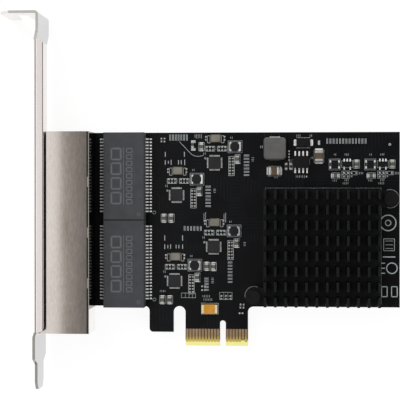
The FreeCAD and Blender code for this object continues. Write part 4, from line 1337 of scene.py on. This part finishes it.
# %% [markdown]
# ## White print
#
# Epoxy ink is printed through a fine mesh as lines about 0.13 mm wide.  Every line is
# one stroke, a point with a turn and a length, and one tree lays them all.

# %% The print tree
INK_FILM, ABOVE_FACE = 0.02 * MM, 0.01 * MM
print_tree, inlet, outlet = new_tree("screen print", {
    "Points": ("Geometry", None), "Line Width": ("Float", 0.13 * MM),
    "Ink Thickness": ("Float", INK_FILM), "Finish": ("Material", None)})
line_size = add(print_tree, "ShaderNodeCombineXYZ", {
    "X": 1.0 * MM, "Y": inlet.outputs["Line Width"],
    "Z": inlet.outputs["Ink Thickness"]})
line = add(print_tree, "GeometryNodeMeshCube", {"Size": line_size.outputs[0]})
end_tree(print_tree, line.outputs[0], inlet, outlet)
print("tree:", print_tree.name, len(print_tree.nodes), "nodes")

# %% [markdown]
# ## Strokes, outlines and labels
#
# The print is outlines round the parts, dots at their first pins, and labels.  Here
# each label is a row of plain strokes, so the board has the texture of print and says
# nothing.  A class collects the strokes until the tree lays them.

# %% Strokes of ink
class Print:
    """Strokes of ink, placed in millimetres, with widths in lines of 0.13 mm."""

    def __init__(self, z):
        self.z = z
        self.points = []

    def stroke(self, x0, y0, x1, y1, width=1.0):
        self.points.append({
            "at": ((x0 + x1) / 2 * MM, (y0 + y1) / 2 * MM, self.z),
            "turn": math.atan2(y1 - y0, x1 - x0),
            "stretch": (math.hypot(x1 - x0, y1 - y0), width, 1)})

    def path(self, corners, width=1.0):
        """Strokes from each corner to the next."""
        for start, end in zip(corners, corners[1:]):
            self.stroke(*start, *end, width)

    def frame(self, x0, y0, x1, y1, width=1.0):
        self.path([(x0, y0), (x1, y0), (x1, y1), (x0, y1), (x0, y0)], width)

    def ring(self, x, y, radius, sides=16, width=1.0):
        at = [(x + radius * math.cos(2 * math.pi * step / sides),
               y + radius * math.sin(2 * math.pi * step / sides))
              for step in range(sides)]
        self.path(at + at[:1], width)

    def bar(self, x, y, offset, tall, along, width):
        """One upright stroke of a row that runs along X or Y."""
        lift = tall / 2
        if along == "x":
            self.stroke(x + offset, y - lift, x + offset, y + lift, width)
        else:
            self.stroke(x - lift, y + offset, x + lift, y + offset, width)

    def label(self, x, y, marks, tall=1.0, along="x", width=0.9, pitch=0.52):
        """A row of strokes that stands where a short label would; some are lower."""
        for index in range(marks):
            offset = (index - (marks - 1) / 2) * pitch
            self.bar(x, y, offset, tall * (1.0 if index % 3 else 0.8), along, width)

    def word(self, x, y, marks, tall, along="x", pitch=1.05, width=1.1):
        """A row of double bars, as coarse as a larger label."""
        for index in range(marks):
            middle = (index - (marks - 1) / 2) * pitch
            for offset in (middle - 0.17, middle + 0.17):
                self.bar(x, y, offset, tall, along, width)


ink = Print(FACE + ABOVE_FACE)
print("ink lies", INK_FILM / MM, "mm thick on Z =", round(ink.z / MM, 2))

# %% [markdown]
# ## Measuring what is printed round
#
# Print follows the parts, so two helpers give a part's sides and its middle in
# millimetres, the unit that a print layout uses.

# %% Sides and middles
def span(node, grow=0.0):
    """A node's or box's sides in millimetres: x0, y0, x1, y1."""
    low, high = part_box(node) if isinstance(node, str) else node
    return (low.x / MM - grow, low.y / MM - grow, high.x / MM + grow,
            high.y / MM + grow)


def middle_of(node):
    """The middle of a node or box in millimetres."""
    x0, y0, x1, y1 = span(node)
    return (x0 + x1) / 2, (y0 + y1) / 2


print("the board's sides in mm:", [round(side, 2) for side in span("circuit_board")])

# %% [markdown]
# ## Print round the four channels
#
# Each channel is printed alike: a dot at the chip's first pin, a frame round the
# inductor, small frames at the crystal's ends and long ones round the rows of chip
# parts.  All of it is measured from the chip, the inductor and the crystal, so one
# loop prints the four.

# %% Print round the four channels
ROW_FRAMES = (  # right and up from the chip's middle: x0, y0, x1, y1
    (-3.05, 3.8, 0.05, 5.35), (0.89, 3.8, 3.99, 5.35), (4.55, -4.15, 6.35, 2.05),
    (6.55, -0.25, 8.3, 2.65))
for number, chip in enumerate(CHIPS, 1):
    x, y = middle_of(chip)
    ink.ring(x - 3.0, y + 1.45, 0.22, 8, 2.2)
    x0, y0, x1, y1 = span("core_inductor_%d" % number)
    ink.frame(x0 - 0.5, y0 - 0.18, x1 + 0.5, y1 + 0.18, 0.8)
    x0, y0, x1, y1 = span("crystal_base_%d" % number)
    for side in (x0 - 0.65, x1 + 0.65):
        ink.frame(side - 0.42, y0 - 0.2, side + 0.42, y1 - 0.4)
    for x0, y0, x1, y1 in ROW_FRAMES:
        ink.frame(x + x0, y + y0, x + x1, y + y1)
    ink.label(x - 3.3, y + 3.0, 2, 0.8)
    ink.label(x + 5.4, y + 8.1, 2, 0.7)
print("strokes so far:", len(ink.points))

# %% [markdown]
# ## Labels and bare pads of each channel
#
# Round the like parts every channel has its own labels and unused pads, because the
# room beside it differs.  They are lists of places from the chip's middle.  A pad
# without a part is tinned and looks like a short thick stroke, so it is drawn as one.

# %% Labels and pads of each channel
WORDS = (  # channel, right, up, marks, height, direction, pitch
    (1, -11.7, 8.2, 7, 2.0, "x", 0.9), (1, 10.3, -0.8, 7, 1.75, "y", 1.05),
    (2, 10.2, -0.4, 7, 1.75, "y", 1.05), (3, 5.3, -8.2, 7, 1.5, "y", 1.05),
    (3, -6.8, 5.9, 6, 1.5, "x", 1.05), (4, 10.35, -1.0, 5, 1.4, "y", 0.9))
LABELS = (  # channel, right, up, marks, height, direction
    (1, 12.3, 1.1, 3, 0.8, "y"), (1, -5.3, 8.6, 5, 1.4, "x"),
    (2, 12.3, 1.4, 3, 0.8, "y"), (3, -2.9, 9.4, 2, 3.6, "x"),
    (3, 3.6, 9.4, 2, 3.2, "x"), (3, 10.0, 0.9, 3, 0.8, "y"),
    (4, 12.3, 0.2, 4, 0.9, "y"), (4, -3.9, -3.3, 4, 0.7, "x"))
PAD_BARS = (  # channel, up, then each bar's place to the right and its length
    (2, 10.6, ((-3.7, 1.8), (-2.7, 1.2), (-1.8, 2.0), (0.6, 1.8), (1.5, 1.8),
               (2.6, 2.2))),
    (2, 13.2, ((-3.7, 2.0), (2.5, 2.0))),
    (4, 11.1, ((-3.2, 2.0), (-2.2, 1.4), (-1.3, 1.8), (0.5, 1.4), (1.4, 1.4),
               (2.6, 1.8))),
    (4, 13.9, ((-3.2, 2.2), (2.6, 2.2))))
WIDE_PADS = (4.35, 6.85)
GUARD_LINE = ((-11.4, 6.9), (-8.6, 3.9), (-7.4, 2.7), (-6.3, 2.2), (-5.0, 2.1),
              (-3.6, 2.4))
MIDDLES = dict(enumerate(map(middle_of, CHIPS), 1))
for channel, right, up, marks, tall, along, pitch in WORDS:
    x, y = MIDDLES[channel]
    ink.word(x + right, y + up, marks, tall, along, pitch)
for channel, right, up, marks, tall, along in LABELS:
    x, y = MIDDLES[channel]
    ink.label(x + right, y + up, marks, tall, along)
for channel, up, bars in PAD_BARS:
    x, y = MIDDLES[channel]
    for right, tall in bars:
        ink.label(x + right, y + up, 1, tall, width=1.7)
x, y = MIDDLES[1]
ink.path([(x + right, y + up) for right, up in GUARD_LINE])
for up in WIDE_PADS:
    ink.stroke(x - 7.6, y + up, x - 6.2, y + up, 6.5)
x, y = MIDDLES[4]
ink.frame(x + 2.2, y - 5.4, x + 6.8, y - 3.9, 0.7)
for column in (3.5, 4.7, 5.8):
    ink.stroke(x + column, y - 5.4, x + column, y - 3.9, 0.7)
print("strokes so far:", len(ink.points))

# %% [markdown]
# ## Outlines round the other parts
#
# An outline shows the assembler where a part goes, so it runs just outside the part
# and each is taken from the part's own box.  The heat sink has one with a ring round
# each ear, and the modules have a ring beside their first pin.

# %% Outlines round the other parts
x0, y0, x1, y1 = span("tantalum_capacitor")
ink.frame(x0 - 1.0, y0 - 0.25, x1 + 1.0, y1 + 0.25, 0.9)
x0, y0, x1, y1 = span("power_diode", 0.35)
for side in (y0, y1):
    ink.stroke(x0 + 0.25, side, x1 - 0.25, side)
ink.stroke(x1 - 1.1, y0, x1 - 1.1, y0 + 0.25, 2.0)
for node in ("large_capacitors", "small_inductors", "small_regulators"):
    for middle, size in islands(node):
        ink.frame(*span((middle - size / 2, middle + size / 2), 0.3), 0.9)
for node in ("transformer_lower", "transformer_upper"):
    x0, y0, x1, y1 = span(node)
    ink.ring(x1 + 2.7, y0 + 2.25, 0.5, 12, 0.8)
ears = islands("push_pins")
x0, y0, x1, y1 = span("heat_sink")
left, right = ears[0][0].x / MM + 3.6, ears[1][0].x / MM - 2.85
ink.frame(left, y0 + 0.3, right, y1 + 0.5, 0.4)
ink.stroke(right, y0 + 0.3, right, y1 + 0.5, 0.9)
for middle, size in ears:
    ink.ring(middle.x / MM, middle.y / MM, 2.95, 24, 0.8)
print("strokes so far:", len(ink.points))

# %% [markdown]
# ## Print in the power corner
#
# The power inductor, the diode, the eight-lead regulator and the two small regulators
# have labels beside them.  Each small regulator also has two framed places and one
# more that were left without their parts, with the tinned pads showing.

# %% Print in the power corner
x0, y0, x1, y1 = span("power_inductor")
x, y = middle_of("power_inductor")
ink.label(x0 - 0.8, y + 0.6, 2, 0.9, width=1.4)
ink.label(x + 0.3, y0 - 5.6, 3, 0.8)
ink.label(x1 + 1.6, y0 - 1.6, 3, 3.4)
x0, y0, x1, y1 = span("power_diode")
x, y = middle_of("power_diode")
ink.label(x0 + 0.5, y1 + 1.0, 3, 0.8)
ink.label(x1 + 0.3, y1 + 1.0, 2, 0.8)
ink.stroke(x1 + 2.9, y - 0.7, x1 + 2.9, y + 0.7, 5.0)
x0, y0, x1, y1 = span("switching_regulator")
x, y = middle_of("switching_regulator")
ink.label(x - 0.3, y0 - 2.7, 6, 0.8)
ink.stroke(x + 1.5, y0 - 2.7, x + 1.9, y0 - 2.7, 4.0)
ink.label(x1 + 1.0, y1 - 0.6, 2, 0.8)
for side in (x0 - 0.3, x1 + 0.3):
    ink.stroke(side, y0 + 1.0, side, y1 - 1.0, 0.6)
EMPTY_PLACES = (  # x0, y0, x1, y1, pad length, pad thickness, then the pads' middles
    (-1.7, -3.3, 0.8, -2.2, 0.4, 4.0, (-1.1, 0.15)),
    (-1.7, -4.5, 0.8, -3.4, 0.4, 4.0, (-1.1, 0.15)),
    (1.2, -3.4, 3.4, -2.3, 0.4, 4.5, (2.9,)))
REGULATOR_LABELS = (  # right, up, marks, height
    (-0.2, 3.1, 3, 0.7), (-3.9, 3.1, 2, 0.7), (4.2, -2.9, 4, 0.8), (-0.2, -5.1, 3, 0.7),
    (-0.5, -6.1, 4, 0.8), (-4.0, -5.2, 3, 0.7))
for middle, size in islands("small_regulators"):
    x, y = middle.x / MM, middle.y / MM
    for x0, y0, x1, y1, long, thick, pads in EMPTY_PLACES:
        ink.frame(x + x0, y + y0, x + x1, y + y1, 0.8)
        level = y + (y0 + y1) / 2
        for pad in pads:
            ink.stroke(x + pad - long / 2, level, x + pad + long / 2, level, thick)
    for right, up, marks, tall in REGULATOR_LABELS:
        ink.label(x + right, y + up, marks, tall)
print("strokes so far:", len(ink.points))

# %% [markdown]
# ## Marks beside the blade and down the margin
#
# Above the contact blade is a small ruled table with two labels, and a long label runs
# along the top edge.  Down the right margin stand a ring, a ruled box, a bar, a disc
# and two frames.  They are plain shapes, and they are placed from the board's edges.

# %% Marks beside the blade and down the margin
TABLE = (-1.04, 15.0, 2.97, 17.3)
RING_Y, BOX_Y, BAR_Y, DISC_Y, FRAMES_Y = 39.8, 30.9, 28.9, 25.3, 16.2
x0, y0, x1, y1 = TABLE
ink.frame(*TABLE, 0.7)
ink.stroke(x0, (y0 + y1) / 2, x1, (y0 + y1) / 2, 0.5)
for column in (0.3, 1.63):
    ink.stroke(column, y0, column, y1, 0.5)
ink.label(-5.4, 16.0, 5, 0.8)
ink.label(-4.9, 14.9, 6, 0.8)
board_x1, board_y1 = span("circuit_board")[2:]
ink.word(board_x1 - 17.0, board_y1 - 2.9, 13, 1.7, pitch=1.02)
ink.ring(board_x1 - 3.2, board_y1 - 4.0, 0.3, 8, 2.0)
margin = board_x1 - 3.6
ink.ring(margin - 0.1, RING_Y, 2.5, 24, 2.6)
ink.ring(margin - 0.1, RING_Y, 0.9, 12, 2.0)
ink.frame(margin - 1.5, BOX_Y, margin + 1.9, BOX_Y + 3.8, 1.2)
for rule in (0.7, 1.9, 3.1):
    ink.stroke(margin - 1.0, BOX_Y + rule, margin + 1.4, BOX_Y + rule)
ink.stroke(margin - 1.8, BAR_Y, margin + 2.2, BAR_Y, 2.6)
for drop in (-1.6, 0.0, 1.6):
    ink.stroke(margin - 2.7, DISC_Y + drop, margin - 1.1, DISC_Y + drop, 2.4)
ink.ring(margin + 1.1, DISC_Y, 1.7, 18, 2.6)
for side in (-1.3, 1.9):
    ink.frame(margin + side - 0.9, FRAMES_Y, margin + side + 0.9, FRAMES_Y + 3.2, 2.2)
mesh = baked("white_print", print_tree, ink.points, "white_ink")
keep("white_print", mesh, "white_ink")

# %% [markdown]
# ## Marks on the modules
#
# Moulded modules carry a dimple at their first pin and a pad-printed mark.  Plain
# frames and a line stand where the mark would be, and a ring where the dimple is.

# %% Module marks
MARK_COLUMNS = (  # right of the middle, frames, their width, height and pitch, weight
    (-2.4, 4, 3.0, 3.5, 4.7, 4.2), (1.85, 9, 1.7, 1.3, 2.05, 2.4))
marks = Print(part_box("transformer_lower")[1].z + ABOVE_FACE)
for node in ("transformer_lower", "transformer_upper"):
    x, y = middle_of(node)
    marks.stroke(x, y - 9.2, x, y + 9.2, 1.6)
    for right, count, wide, tall, pitch, weight in MARK_COLUMNS:
        for index in range(count):
            up = y + (index - (count - 1) / 2) * pitch
            marks.frame(x + right - wide / 2, up - tall / 2, x + right + wide / 2,
                        up + tall / 2, weight)
    x0, y0, x1, y1 = span(node)
    marks.ring(x1 - 1.7, y0 + 1.7, 0.5, 12, 1.6)
mesh = baked("module_marks", print_tree, marks.points, "grey_print")
keep("module_marks", mesh, "grey_print")

# %% [markdown]
# ## The frame's box
#
# The frame's own box, as it was measured at the start, is printed last.

# %% Frame box
print("frame box:", CAD_BOX)
